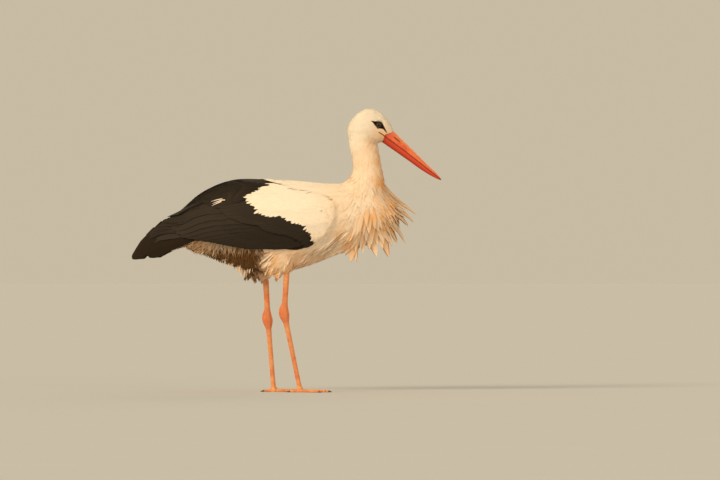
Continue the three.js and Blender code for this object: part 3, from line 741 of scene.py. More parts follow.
def downy_skin():
    """Thin skin under white down, and the bare black skin round the eye and along the gape.

    The downy part is matt and pale like the coat over it; the bare part is near black, wrinkled in cells about
    1 mm across and a little greasy, so its folds catch small dull highlights.
    """
    finish, material, add, shader, place, bare, buff = new_material("downy_skin", "bare", "buff")
    down = add("TexNoise", {"Scale": per(5.56), "Detail": 5.0}, {"Vector": place})
    wrinkle = add("TexVoronoi", {"Scale": per(1)}, {"Vector": place})
    pale = add("Mix", RGBA | {6: finish.white_deep, 7: finish.white}, {0: down})
    # the coat's buff stain and painted warm shade, on the skin under it
    tinged = add("Mix", RGBA | {7: finish.buff}, {0: buff, 6: pale})
    black = add("Mix", RGBA | {6: finish.bare_skin, 7: finish.black_worn}, {0: wrinkle})
    colour = add("Mix", RGBA, {0: bare, 6: tinged, 7: black})
    bump = add("Bump", {"Strength": 0.4, "Distance": 0.25 * MM}, {"Height": wrinkle})
    gloss = add("Math", TIMES_PLUS | {1: -0.28, 2: 0.85}, {0: bare})
    looks = {"Base Color": colour, "Normal": bump, "Roughness": gloss}
    set_node(shader, {"IOR": 1.4, "Specular IOR Level": 0.3}, looks)
    return material


def bill_keratin():
    """Red bill keratin, grown forward in long thin layers.

    It is satin and slightly see-through, orange-red above and deeper red below, with painted shade towards the lower
    half's underside, a painted highlight in streaks along the upper half's ridge, lengthwise grain from 2.4 mm wide
    down to a fine scratch, and painted shade along the cutting edges, where the halves meet, and in the nostril slits.
    """
    parts = "edge", "ridge", "lower", "keel"
    finish, material, add, shader, _, edge, ridge, lower, keel = new_material("red_bill_keratin", *parts)
    place = add("UVMap", {"uv_map": "Grain"})
    long = add("Mapping", {"Scale": (per(2.38), per(111), 1)}, {"Vector": place})
    grain = add("TexNoise", {"Scale": 1.0, "Detail": 5.0}, {"Vector": long})
    blot = add("TexNoise", {"Scale": per(16.7), "Detail": 4.0}, {"Vector": place})
    patch = add("MapRange", {"From Min": 0.35, "From Max": 0.65}, {"Value": blot})
    top = add("Mix", RGBA | {6: finish.bill_upper, 7: finish.bill_pale}, {0: patch})
    # the keel colour: deeper red at the base of the lower half, and painted shade towards its underside
    under = add("Mix", RGBA | {6: finish.bill_lower, 7: finish.bill_keel}, {0: keel})
    red = add("Mix", RGBA, {0: lower, 6: top, 7: under})
    # a painted highlight in streaks along the upper half's ridge
    highlight_streaks = add("Math", TIMES | CLAMPED, {0: grain, 1: ridge})
    paled = add("Mix", RGBA | {7: finish.bill_ridge_highlight}, {0: highlight_streaks, 6: red})
    # painted shade along the cutting edges and in the nostril slits
    colour = add("Mix", RGBA | {7: linear("#5a1a0c")}, {0: edge, 6: paled})
    bump = add("Bump", {"Strength": 0.4, "Distance": 0.2 * MM}, {"Height": grain})
    rough = add("Math", TIMES_PLUS | {1: 0.25, 2: 0.32}, {0: grain})
    set_node(shader, {**KERATIN, "Specular IOR Level": 0.35, "Subsurface Weight": 0.08,
                      "Subsurface Radius": (0.004, 0.0012, 0.0006)},
             {"Base Color": colour, "Normal": bump, "Roughness": rough})
    return material


def leg_horn():
    """Horny scaled leg skin under a chalky crust of the bird's own droppings.

    The scales are satin and orange-red where they are clean. The crust is pale and dull; it lies on the scales more
    than between them, and is thinnest round the heel.
    """
    finish, material, add, shader, place, scute, chalk = new_material("scaled_leg_horn", "scute", "chalk")
    dust = add("TexNoise", {"Scale": per(23.8), "Detail": 6.0, "Roughness": 0.65}, {"Vector": place})
    clots = add("MapRange", {"From Min": 0.4, "From Max": 0.62}, {"Value": dust})
    pores = add("TexNoise", {"Scale": per(1.11), "Detail": 3.0}, {"Vector": place})
    horn = add("Mix", RGBA | {6: finish.leg_deep, 7: finish.leg}, {0: scute})
    crust = add("Mix", RGBA | {6: finish.leg, 7: finish.chalk}, {0: scute})
    amount = add("Math", TIMES, {0: clots, 1: chalk})
    colour = add("Mix", RGBA, {0: amount, 6: horn, 7: crust})
    bump = add("Bump", {"Strength": 0.3, "Distance": 0.3 * MM}, {"Height": pores})
    rough = add("Math", TIMES_PLUS | {1: 0.3, 2: 0.5}, {0: amount})
    set_node(shader, {**KERATIN, "Specular IOR Level": 0.3}, {"Base Color": colour, "Normal": bump, "Roughness": rough})
    return material


def claw_keratin():
    """Dark claw keratin, ground smooth by walking: hard, close-grained and dully glossy, with paler worn spots."""
    finish, material, add, shader, place = new_material("dark_claw_keratin")
    grain = add("TexNoise", {"Scale": per(3.125), "Detail": 4.0}, {"Vector": place})
    colour = add("Mix", RGBA | {6: finish.claw, 7: linear("#6b5140")}, {0: grain})
    bump = add("Bump", {"Strength": 0.25, "Distance": 0.2 * MM}, {"Height": grain})
    set_node(shader, {"Roughness": 0.42, **KERATIN}, {"Base Color": colour, "Normal": bump})
    return material


def wet_eye():
    """A brown iris of radial fibres and a black pupil under a wet cornea: near black, with a small hard highlight."""
    finish, material, add, shader, place, out = new_material("wet_dark_eye", "out")
    fibre = add("TexNoise", {"Scale": per(1.11), "Detail": 4.0}, {"Vector": place})
    iris = add("Mix", RGBA | {6: linear("#33241a"), 7: finish.iris}, {0: fibre})
    pupil = add("MapRange", {"From Min": 0.33, "From Max": 0.37}, {"Value": out})
    rim = add("MapRange", {"From Min": 0.58, "From Max": 0.7}, {"Value": out})
    middle = add("Mix", RGBA | {6: linear("#030202")}, {0: pupil, 7: iris})
    colour = add("Mix", RGBA | {7: linear("#070504")}, {0: rim, 6: middle})
    set_node(shader, {"Roughness": 0.08, "IOR": 1.38}, {"Base Color": colour})
    return material


def matt_paper(colour):
    """Matt studio paper, pressed from pulp: an even pale ground with no shine and only a faint mottle."""
    _, material, add, shader, place = new_material("matt_floor_paper")
    mottle = add("TexNoise", {"Scale": per(333), "Detail": 2.0}, {"Vector": place})
    low, high = ([shade * c for c in colour] + [1] for shade in (0.985, 1.015))
    pulp = add("Mix", RGBA | {6: low, 7: high}, {0: mottle})
    set_node(shader, {"Roughness": 1.0, "Specular IOR Level": 0.0}, {"Base Color": pulp})
    return material


# ---- what a user would change
def tint(name, description, start):
    """A colour that a user can change, from an sRGB hex value or from linear light."""
    start = linear(start) if isinstance(start, str) else start
    return FloatVectorProperty(name=name, description=description, subtype="COLOR", size=len(start), min=0, max=1,
                               default=start)


def size(name, description, least, most, start):
    """A length that a user can change, with its limits and default given in millimetres."""
    return FloatProperty(name=name, description=description, unit="LENGTH", min=least * MM, max=most * MM,
                         default=start * MM)


class StorkFinishes(PropertyGroup):
    """Colours of the stork's own finishes."""

    white: tint("White", "Clean white feathers", "#f6efe4")
    white_deep: tint("White, deep", "White feathers where their barbs part", "#e9dcc6")
    # the buff stain, and painted warm shade on the shaded underside and under the jaw
    buff: tint("Buff", "Stain on the plumes of the breast and belly", "#eca64a")
    # painted brown shade on the down behind the thighs and under the tail, on the gap lines along the mantle, and on
    # some plumes of the breast and flanks
    vent: tint("Vent", "Soiled down under the tail", "#66431a")
    black: tint("Black", "Black wing feathers", "#241c12")
    black_worn: tint("Black, worn", "Black feathers where they are bleached", "#261c12")
    bare_skin: tint("Bare skin", "Skin round the eye", "#1f1711")
    bill_upper: tint("Upper bill", "Upper half of the bill", "#cf5530")
    bill_pale: tint("Upper bill, pale", "Paler clouds on the upper bill", "#e87c48")
    # painted highlight along the bill's ridge
    bill_ridge_highlight: tint("Bill ridge", "Worn ridge of the bill", "#f2a67e")
    bill_lower: tint("Lower bill", "Lower half of the bill", "#d2482a")
    bill_keel: tint("Bill keel", "Underside of the bill", "#a93216")
    # deeper red at the bill's base, and painted shade on its underside
    leg: tint("Leg", "Clean scales of the legs", "#dd8557")
    leg_deep: tint("Leg, deep", "Joints between the scales", "#c2603a")
    chalk: tint("Leg crust", "Chalky crust on the legs", "#e9bb80")
    claw: tint("Claw", "Claws", "#2c1f18")
    iris: tint("Iris", "Iris of the eye", "#4c3726")


class StorkFeathers(PropertyGroup):
    """Sizes of the stork's feathers."""

    face: size("Face", "Length of the shortest tufts, beside the eye and the bill", 2, 8, 4)
    nape: size("Nape", "Length of the feathers at the back of the head", 6, 30, 14)
    neck: size("Neck", "Length of the feathers at the root of the neck", 10, 50, 26)
    mantle: size("Mantle", "Length of the feathers over the shoulders", 15, 60, 34)
    covert: size("Coverts", "Length of the wing's longest white coverts", 15, 60, 34)
    breast: size("Breast plumes", "Greatest length of the plumes laid over the breast", 30, 100, 74)
    flank: size("Flank plumes", "Length of the plumes between the breast and the thighs", 30, 90, 56)
    thigh: size("Thigh plumes", "Length of the plumes of the thighs", 20, 70, 46)
    vent: size("Vent plumes", "Length of the loose plumes under the tail", 20, 70, 42)
    flight_width: size("Flight feathers", "Width of the wing's long black feathers", 20, 50, 32)


class StorkStage(PropertyGroup):
    """Camera and lights of the plain studio round the stork."""

    lens: FloatProperty(name="Lens", description="Focal length", unit="CAMERA", min=50, max=500, default=240)
    away: size("Camera distance", "How far the camera stands from the bird", 3000, 40000, 12000)
    height: size("Camera height", "How high the camera stands over the floor", 50, 3000, 280)
    room: tint("Room", "Light from all round", (0.58, 0.5, 0.37))
    key: tint("Key", "Colour of the low warm light behind the bird's right shoulder", (1, 0.775, 0.49))
    key_power: FloatProperty(name="Key strength", description="Watts for each square metre", min=0, max=10, default=2.0)


# ---- the face
EYE = mm(229.5, 14, 667)
EYE_RADIUS = 10 * MM
EYE_OPENING = 6.6 * MM  # half-width between the lids
LID_FOLDS = [[1, 0.9], [2.7, 0.7], [4.6, 0.8]]  # the lid's rim and two creases: how far out they lie, and reach
# the bare black skin round the eye, down to the front of the cheek, in the side view
BARE_SKIN = mm([209, 677.5], [216, 676.5], [224, 675.5], [232, 675.5], [239, 670.5], [243.5, 662], [247.5, 654],
               [251.5, 645.5], [246.5, 649.5], [240, 656.5], [230, 659], [222, 664], [216, 671])
JAW = mm([204, 638], [220, 628])  # a faint fold under the jaw
GAPE = mm([230, 648.4], [236.5, 644.2], [243, 640], [250, 635])  # the dark line behind the corner of the mouth
# [x, z, depth of coat] in the side view: how far the skin lies under the tips of the feathers
COAT_DEPTHS = mm(
    [262, 655, 0.8], [225, 665, 1.2], [200, 690, 1.8], [190, 640, 2.2], [200, 590, 3.5], [200, 545, 5], [200, 480, 8],
    [120, 430, 7], [0, 420, 7], [-150, 420, 7], [-270, 410, 4], [-10, 330, 6], [-10, 300, 2], [-60, 330, 6],
    [-56, 285, 2],
)


def coat_depth(points):
    far = (points[:, None, 0] - COAT_DEPTHS[:, 0]) ** 2 + (points[:, None, 2] - COAT_DEPTHS[:, 1]) ** 2
    weight = 1 / (far + (8 * MM) ** 2) ** 2
    return (weight @ COAT_DEPTHS[:, 2]) / weight.sum(1)


def bare(points, margin=0.0):
    """Whether places on the face are bare skin: round the eye, and along the gape."""
    ring = np.hypot(points[..., 0] - EYE[0], points[..., 2] - EYE[2]) < EYE_OPENING + 1.3 * MM + margin
    patch = inside_outline(BARE_SKIN, points) | (near_line(BARE_SKIN, points) < margin)
    return (ring | patch | (near_line(GAPE, points) < 1.2 * MM + margin)) & (np.abs(points[..., 1]) > 4 * MM)


def refine_near_eyes(mesh):
    """Splits the skin's faces near the eyes finely enough for lids and for the edge of the bare skin."""
    bm = bmesh.new()
    bm.from_mesh(mesh)
    for reach in (30 * MM, 23 * MM, 13 * MM):
        near = [edge for edge in bm.edges if all(eye_distance(vertex.co) < reach for vertex in edge.verts)]
        bmesh.ops.subdivide_edges(bm, edges=near, cuts=1, use_grid_fill=True)
    bmesh.ops.triangulate(bm, faces=[face for face in bm.faces if len(face.verts) > 4])
    bm.to_mesh(mesh)
    bm.free()


def eye_distance(point):
    return math.hypot(point[0] - EYE[0] - 4 * MM, (point[2] - EYE[2] + 5 * MM) * 0.8, abs(point[1]) - 22 * MM)


def with_lids(points):
    """The skin drawn in round each eyeball, with a thick rim for a lid and two shallow creases round it."""
    for side in SIDES.values():
        off = points - EYE * [1, side, 1]
        out = np.hypot(off[:, 0], off[:, 2] * 1.06)
        near = (out < 17 * MM) & (points[:, 1] * side > 6 * MM)
        ball = np.sqrt(np.maximum(EYE_RADIUS**2 - out**2, 0))
        lid = side * (EYE[1] + ball + 0.7 * MM)
        hole = ramp(-out, -EYE_OPENING, -EYE_OPENING + 1.6 * MM)
        rim, crease, fold = (fading(out - EYE_OPENING - at * MM, reach * MM) for at, reach in LID_FOLDS)
        hug = ramp(-out, -15 * MM, -8.4 * MM)
        y = points[:, 1] + (lid - points[:, 1]) * hug
        y = y + side * (rim * 0.6 - crease * 0.4 + fold * 0.15 - hole * 4.5) * MM
        points[:, 1] = np.where(near, y, points[:, 1])
    return points


def under_bill(points):
    """The skin drawn in under the bill's horn ahead of the edge of the face's feathers."""
    off = points - MOUTH
    far, up = off @ BILL_AHEAD, off @ BILL_UP
    high, below, above, half = smooth_rows(BILL, far).T
    share = np.abs(up - high) / np.where(up > high, above, below)
    most = np.maximum(half * np.sqrt(np.maximum(1 - share**2, 0)) - 1.2 * MM, 0.4 * MM)
    under = ~behind_bill(points) & (share < 0.97)
    points[:, 1] = np.where(under, np.clip(points[:, 1], -most, most), points[:, 1])
    return points


class STORK_OT_skin(Operator):
    """Draw one skin in from the flesh by the depth of the coat, with the folds of the face and lids round the eyes"""

    bl_idname = "stork.skin"
    bl_label = "Skin"

    def execute(self, context):
        mesh = flesh().mesh.copy()
        refine_near_eyes(mesh)
        points, normals = coordinates(mesh), vertex_normals(mesh)
        points -= normals * coat_depth(points)[:, None]
        points = under_bill(with_lids(points))
        gape, jaw = fading(near_line(GAPE, points), 1.2 * MM), fading(near_line(JAW, points), 2.5 * MM)
        points -= normals * ((0.5 * gape + 0.6 * jaw) * MM)[:, None]
        move_vertices(mesh, points)
        set_values(mesh, "bare", bare(points))
        # the skin carries the coat's buff stain and painted warm shade
        set_values(mesh, "buff", np.clip(spot_amount(points, BUFF_AND_WARM_SHADE) * 0.8, 0, 1))
        add_piece("skin", mesh, downy_skin(), FLESH)
        return {"FINISHED"}


class STORK_OT_eyes(Operator):
    """Build both eyeballs, each with a clear bulge over the iris"""

    bl_idname = "stork.eyes"
    bl_label = "Eyes"

    def execute(self, context):
        rings, corners = 30, 48
        for name, side in SIDES.items():
            tilt = np.linspace(0, np.pi, rings)[1:-1, None]
            tilt, turn = np.broadcast_arrays(tilt, np.linspace(0, 2 * np.pi, corners, endpoint=False))
            radius = EYE_RADIUS * (1 + 0.05 * ramp(-tilt, -0.75, -0.2))
            way = np.stack([np.sin(tilt) * np.cos(turn), np.cos(tilt) * side, np.sin(tilt) * np.sin(turn)], -1)
            centre = EYE * [1, side, 1]
            poles = centre + np.array([[0, side, 0], [0, -side, 0]]) * EYE_RADIUS * [[1.05], [1]]
            points = np.concatenate([(centre + way * radius[..., None]).reshape(-1, 3), poles])
            grid, after, quads = ring_grid(rings - 2, corners)
            front = np.stack([np.full(corners, len(points) - 2), after[0], grid[0]], -1)
            back = np.stack([np.full(corners, len(points) - 1), grid[-1], after[-1]], -1)
            mesh = mesh_from("eye_" + name, points, *(kind[:, ::side] for kind in (quads, front, back)))
            out = np.hypot(points[:, 0] - EYE[0], points[:, 2] - EYE[2]) / EYE_RADIUS
            set_values(mesh, "out", np.where(points[:, 1] * side > EYE[1], out, 1))
            add_piece("eyeball_" + name, mesh, wet_eye(), [f"eye_{name}"])
        return {"FINISHED"}


# ---- the bill
MOUTH = mm(243, 0, 640)
BILL_DIP = math.radians(38.1)
BILL_AHEAD = np.array([math.cos(BILL_DIP), 0, -math.sin(BILL_DIP)])
BILL_UP = np.array([math.sin(BILL_DIP), 0, math.cos(BILL_DIP)])
# [distance from the corner of the mouth, height of the cutting edge, depth below it, height above it, half-width]
BILL = mm(
    [-14, 0, 15.5, 24.6, 14], [6, 0.2, 15.6, 24.2, 13.4], [40, 1.2, 14.7, 19.6, 10.8], [87, 2.2, 13.2, 13.2, 8.2],
    [130, 2.2, 11, 8, 5.9], [160, 2, 6.8, 5.2, 4], [173, 1.8, 3.6, 3, 2.6], [180, 1.5, 1.2, 1.2, 1.3],
)
NOSTRIL = mm(30, 12.7)  # its middle: distance from the mouth's corner and height over it
NOSTRIL_LENGTH = 19 * MM


def bill_half(sign):
    """The upper (1) or lower (-1) half of the bill as a closed mesh with its cutting edges."""
    stations, arc = 130, 36
    far = BILL[0, 0] + (BILL[-1, 0] - BILL[0, 0]) * (1 - (1 - np.linspace(0, 1, stations)) ** 1.25)
    high, below, above, half = smooth_rows(BILL, far).T
    reach = above if sign > 0 else below
    close = np.sqrt(1 - (1 - np.clip((BILL[-1, 0] - far) / (5 * MM), 0.02, 1)) ** 2)
    reach, half = reach * close, half * close
    edge = high + sign * 0.04 * MM
    start = np.arcsin(np.clip((edge - high) * sign / reach, -0.9, 0.9))
    share = np.linspace(0, 1, arc)
    angle = start[:, None] + (np.pi - 2 * start[:, None]) * share
    # the sides are a little flatter than an ellipse above, and hollow above the keel below
    side = 0.07 if sign > 0 else 0.1
    y = half[:, None] * np.cos(angle) * (1 - side * np.sin(angle) ** 2 * np.abs(np.cos(angle)))
    z = high[:, None] + sign * reach[:, None] * np.sin(angle)
    slit = np.zeros_like(z)
    if sign > 0:
        # a shallow groove runs forward from each nostril, and the slit itself is deeper
        off = z - (NOSTRIL[1] - (far - NOSTRIL[0])[:, None] * 0.02)
        fade = ramp(-far, -95 * MM, -45 * MM) * ramp(far, 10 * MM, 22 * MM)
        groove = fading(off, 1.6 * MM) * fade[:, None]
        along = np.clip(1 - ((far - NOSTRIL[0]) / (NOSTRIL_LENGTH / 2)) ** 2, 0, 1)[:, None]
        slit = fading(off, 1.0 * MM) * along**0.3
        y = y - np.sign(y) * np.minimum((0.55 * groove + 1.9 * slit) * MM, np.abs(y) * 0.8)
    inner = np.linspace(1, -1, 8)[1:-1]
    hollow = sign * np.minimum(1.4 * MM, reach * 0.3)
    roof = (edge + hollow)[:, None] - hollow[:, None] * inner**4
    y = np.concatenate([y, -half[:, None] * np.cos(start)[:, None] * inner * 0.96], 1)
    z = np.concatenate([z, roof], 1)
    points = MOUTH + far[:, None, None] * BILL_AHEAD + z[..., None] * BILL_UP + y[..., None] * np.array([0, 1, 0])
    corners = points.shape[1]
    grid, _, walls = ring_grid(stations, corners)
    caps = np.stack([grid[0, ::-1], grid[-1]])
    mesh = mesh_from("bill_half", points.reshape(-1, 3), walls[:, ::sign], caps[:, ::sign])
    run = np.concatenate([share * np.pi, np.zeros(len(inner))])
    set_map(mesh, "Grain", np.stack(np.broadcast_arrays(run[None] * half.max(), far[:, None]), -1).reshape(-1, 2))
    rise = np.abs(z - edge[:, None]) / np.maximum(reach[:, None], 1e-5)
    # painted shade along the cutting edge, where the two halves meet, and in the nostril slit
    parting_shade = fading(np.abs(z - edge[:, None]), 1.1 * MM)
    dark = np.concatenate([slit[:, :arc], np.zeros((stations, len(inner)))], 1) if sign > 0 else 0
    set_values(mesh, "edge", np.clip(np.maximum(parting_shade, dark * 1.8), 0, 1).ravel())
    # a painted highlight along the top of the upper half
    set_values(mesh, "ridge", (ramp(rise, 0.5, 1) * (sign > 0)).ravel())
    # the base is the reddest part of both halves, and the upper one reddens again at its tip
    base = ramp(-far, -60 * MM, -5 * MM)[:, None]
    redder = np.maximum(0.5 * base, 0.3 * ramp(far, 120 * MM, 175 * MM)[:, None])
    set_values(mesh, "lower", (redder + 0 * z if sign > 0 else 1 + 0 * z).ravel())
    # the keel value: deeper red at the base, and painted shade towards the lower half's underside
    set_values(mesh, "keel", (np.maximum(ramp(rise, 0.35, 1), 0.35 * base) * (sign < 0)).ravel())
    return mesh


class STORK_OT_bill(Operator):
    """Build the two halves of the bill, with nostrils, grooves and cutting edges"""

    bl_idname = "stork.bill"
    bl_label = "Bill"

    def execute(self, context):
        horn = bill_keratin()
        for name, sign in (("upper", 1), ("lower", -1)):
            add_piece(f"bill_horn_{name}", bill_half(sign), horn, [f"bill_{name}"])
        return {"FINISHED"}


# ---- legs, feet and claws
LEG_LINES = {
    "right": mm([-3, -47, 322], [0, -45, 300], [-6, -40, 197], [32, -31, 11]),
    "left": mm([-56, 48, 312], [-54, 47, 282], [-48.5, 43, 182], [-34, 24, 11]),
}
LEG_RADIUS, FOOT_TOP = 5.2 * MM, 16 * MM
SCUTE = mm(3.6, 2.9)  # how far apart the scales lie along and round the leg
SCUTE_GRID = 64  # the scales' small shifts repeat after this many


def scale_pattern(points, line, rng):
    """How raised the leg's skin is: scales in staggered rings, broader down the front of the foot and toes."""
    along, off, _ = off_line(line, points)
    around = np.arctan2(off[:, 1], off[:, 0])
    foot = points[:, 2] < FOOT_TOP
    flat = points - line[-1]
    along = np.where(foot, np.hypot(flat[:, 0], flat[:, 1]) + spans(line).sum(), along)
    around = np.where(foot, np.arctan2(flat[:, 1], flat[:, 0]) * 3, around)
    cells = np.stack([along / SCUTE[0], around * LEG_RADIUS / SCUTE[1]], 1)
    cells[:, 1] += 0.5 * (np.floor(cells[:, 0]) % 2)
    shifts = rng.random((SCUTE_GRID, SCUTE_GRID, 2)) * 0.5 - 0.25
    nearest, second = np.full(len(points), 9.0), np.full(len(points), 9.0)
    base = np.floor(cells).astype(int)
    for di in (-1, 0, 1):
        for dj in (-1, 0, 1):
            cell = base + [di, dj]
            far = np.hypot(*(cell + 0.5 + shifts[tuple(cell.T % SCUTE_GRID)] - cells).T)
            second = np.minimum(second, np.maximum(far, nearest))
            nearest = np.minimum(nearest, far)
    return ramp(second - nearest, 0.02, 0.3)


class STORK_OT_legs(Operator):
    """Draw one scaled skin over each leg and foot"""

    bl_idname = "stork.legs"
    bl_label = "Legs and feet"

    def execute(self, context):
        skin = leg_horn()
        for name in SIDES:
            nodes = [f"{node}_{name}" for node in LEG_NODES]
            mesh = remeshed("leg_" + name, nodes, 0.85 * MM, 14, 0.16 * MM)
            points, normals = coordinates(mesh), vertex_normals(mesh)
            scutes = scale_pattern(points, LEG_LINES[name], np.random.default_rng(41))
            points += normals * ((scutes - 0.6) * 0.34 * MM)[:, None]
            points[:, 2] = np.maximum(points[:, 2], 0)
            move_vertices(mesh, points)
            set_values(mesh, "scute", scutes)
            ankle = np.abs(points[:, 2] - LEG_LINES[name][2, 2])
            set_values(mesh, "chalk", 0.2 + 0.6 * ramp(ankle, 18 * MM, 45 * MM))
            add_piece("leg_skin_" + name, mesh, skin, nodes)
        return {"FINISHED"}


class STORK_OT_claws(Operator):
    """Smooth the four claws of each foot"""

    bl_idname = "stork.claws"
    bl_label = "Claws"

    def execute(self, context):
        horn = claw_keratin()
        for name in SIDES:
            nodes = [f"{node}_{name}" for node in CLAW_NODES]
            mesh = remeshed("claws_" + name, nodes, 0.5 * MM, 10, 0.1 * MM)
            points = coordinates(mesh)
            points[:, 2] = np.maximum(points[:, 2], 0)
            move_vertices(mesh, points)
            add_piece("claw_horn_" + name, mesh, horn, nodes)
        return {"FINISHED"}


# ---- coats of small feathers
# the edge of the face's feathers against the bill: [height over the mouth's line, distance ahead of its corner]
FACE_EDGE = mm([-45, 70], [-32, 16], [-22, 8], [-15, 6], [-5, 2.5], [0, 0], [6, 1], [14, 6], [23, 13], [40, 14])
# the white mantle over the shoulders, in the side view
MANTLE = mm([152, 560], [152, 498], [136, 462], [116, 462], [98, 474], [60, 488], [7, 501], [-20, 517], [-46, 522],
            [-60, 527.5], [-77, 533], [-95, 536], [-95, 560])
# the breast, from the root of the neck down to the belly
BREAST = mm([208, 590], [250, 580], [320, 500], [310, 400], [225, 335], [150, 345], [132, 372], [116, 420], [114, 462],
            [122, 484], [140, 500], [180, 540])
FLANK = mm([146, 440], [150, 345], [110, 330], [40, 290], [-14, 290], [-14, 350], [20, 366], [70, 382], [100, 402],
           [122, 430])
VENT = mm([-85, 292], [-85, 345], [-70, 385], [-280, 400], [-290, 340], [-200, 330])
# the outline of a folded wing, in the side view
WING = mm([117, 472], [123, 450], [115, 425], [97, 392], [68, 373], [50, 360], [25, 353], [-5, 355], [-37, 362],
          [-62, 360], [-92, 357], [-137, 364], [-180, 376], [-230, 378], [-262, 364], [-283, 355], [-317, 336],
          [-345, 338], [-384, 333], [-388, 346], [-350, 400], [-307, 436], [-260, 456], [-230, 486], [-190, 511],
          [-150, 526], [-77, 532], [-37, 520], [7, 510], [85, 490])
NAPE = mm(205, 630)  # where the head's coat meets the neck's
SHORTEST_TUFTS = mm([236, 662], [252, 640])  # beside the eye, and at the front of the cheek
THIGHS = {"right": -18 * MM, "left": -66 * MM}  # how far ahead their middles are
THIGH_SPAN, THIGH_TOP, THIGH_INSIDE = mm(56, 348, 24)  # half their length, and where their outer faces begin
UNSEEN = 16 * MM  # no feather of the body shows this deep under the wings


def on_head(points):
    return points[:, 2] > NAPE[1] - 0.35 * (points[:, 0] - NAPE[0])


def behind_bill(points):
    """Whether places on the face lie behind the edge of the feathers round the bill."""
    off = points - MOUTH
    edge = np.interp(off @ BILL_UP, FACE_EDGE[:, 0], FACE_EDGE[:, 1])
    return off @ BILL_AHEAD < edge


def near_face(points):
    """1 beside the eye and the bill, and 0 away from them."""
    x, z = side_view(points)
    eye, gape = (np.hypot(x - place[0], z - place[1]) for place in SHORTEST_TUFTS)
    return 1 - ramp(np.minimum(eye, 1.4 * gape), 18 * MM, 52 * MM)


def on_thigh(points, name):
    x, z = side_view(points)
    outer = points[:, 1] * SIDES[name] > THIGH_INSIDE
    return (np.abs(x - THIGHS[name]) < THIGH_SPAN) & (z < THIGH_TOP) & outer


def under_wing(lines):
    """Whether feathers run in under a folded wing."""
    x, z = side_view(lines)
    _, _, half = wing_section(x)
    out = half * np.sin(wing_angle(x, z)) - 7 * MM
    return (inside_outline(WING, lines) & (np.abs(lines[..., 1]) > out)).any(1)


def thigh_lie(points):
    """Down over the leg, and more to the back behind it."""
    middle = np.where(points[:, 1] < 0, THIGHS["right"], THIGHS["left"])
    back = ramp(middle - points[:, 0], -15 * MM, 45 * MM) * ramp(points[:, 2], 290 * MM, 345 * MM)
    return unit(np.stack([-0.38 - 0.4 * back, 0.05 * np.sign(points[:, 1]), -0.93 + 0.35 * back], -1))


def vent_lie(points):
    back = ramp(points[:, 0], -100 * MM, -210 * MM)
    return unit(np.stack([-0.12 - 0.42 * back, 0.06 * np.sign(points[:, 1]), -0.95 + 0.05 * back], -1))


def blades(coat, ground, rows, lie, side, rng, *, gap, buff, brown_shade=0.0, tone=0.5, inward=1.0, back=0.0):
    """Adds long feathers that end at given tips: rows of [x, z, width, length, distance out] in the side view.

    `back` is how far the tips are moved towards the roots, and `inward` what share of the body's width they lie at.
    """
    rows = rows * MM
    count, shares = len(rows), LANCE[:, 0]
    tips = np.stack([rows[:, 0], np.full(count, side * 1e-4), rows[:, 1]], 1)
    tips = traced(tips, lie, np.full(count, back), np.array([0, 0.5, 1.0]))[:, 0]
    lines = traced(tips, lie, rows[:, 3], shares)
    half = ground.half_width(lines[..., 0], lines[..., 2], side)
    root_sink = 4 * MM * (1 - shares) ** 2
    out = np.maximum(half * inward + gap * shares - root_sink, rows[:, 4:] * shares)
    for _ in range(3):
        out[:, 1:-1] = (out[:, :-2] + 2 * out[:, 1:-1] + out[:, 2:]) / 4
    lines[..., 1] = side * out
    front = ramp(lines[..., 0], 205 * MM, 290 * MM)
    facing = np.stack([0.75 * front, np.full(front.shape, side * 0.9), 0.12 + 0 * front], -1)
    facing = unit(facing + rng.normal(0, 0.08, (count, 1, 3)))
    tones = np.clip(rng.normal(tone, 0.2, count), -1, 1)
    # each blade's buff holds a real stain and painted warm shade, and its brown value painted brown shade
    buff = buff * rng.uniform(0.6, 1.2, count)
    brown_shade = brown_shade * rng.uniform(0.6, 1.3, count)
    places = unrolled(lines[:, 0])
    coat.add(lines, facing, LANCE, THIN, rows[:, 2], 0.34 * MM, places, tones, buff, brown_shade, camber=0.25)


class STORK_OT_head_coat(Operator):
    """Lay the short tufts of the face and crown, which stop at the bare skin and the bill"""

    bl_idname = "stork.head_coat"
    bl_label = "Head coat"

    def execute(self, context):
        sizes, rng, ground = context.scene.stork_feathers, np.random.default_rng(3), cover()

        def wanted(points, normals):
            return on_head(points) & behind_bill(points) & ~bare(points, 0.3 * MM)

        def spacing(points):
            return (2.25 - 0.7 * near_face(points)) * MM

        def over_bare(lines):
            return bare(lines[:, 1:], 0.3 * MM).any(1) | ~behind_bill(lines.mean(1))

        roots = ground.scatter(wanted, spacing, rng)
        close, back = near_face(roots), ramp(roots[:, 0], 215 * MM, 160 * MM)
        length = (sizes.face + 3.5 * MM) + (sizes.nape - sizes.face - 3.5 * MM) * back - 3.5 * MM * close
        coat = Coat("head_coat", soft=0.75)
        width = (2.4 + 1.3 * back - 0.7 * close) * MM
        grow(coat, ground, roots, body_lie, TUFT, 1.1 * length, width, rng, sink=0.9 * MM, thick=0.2 * MM,
             lift=(0.3 + 0.8 * back) * MM, stray=0.12, tone=0.6, drop=over_bare)
        coat.build()
        return {"FINISHED"}


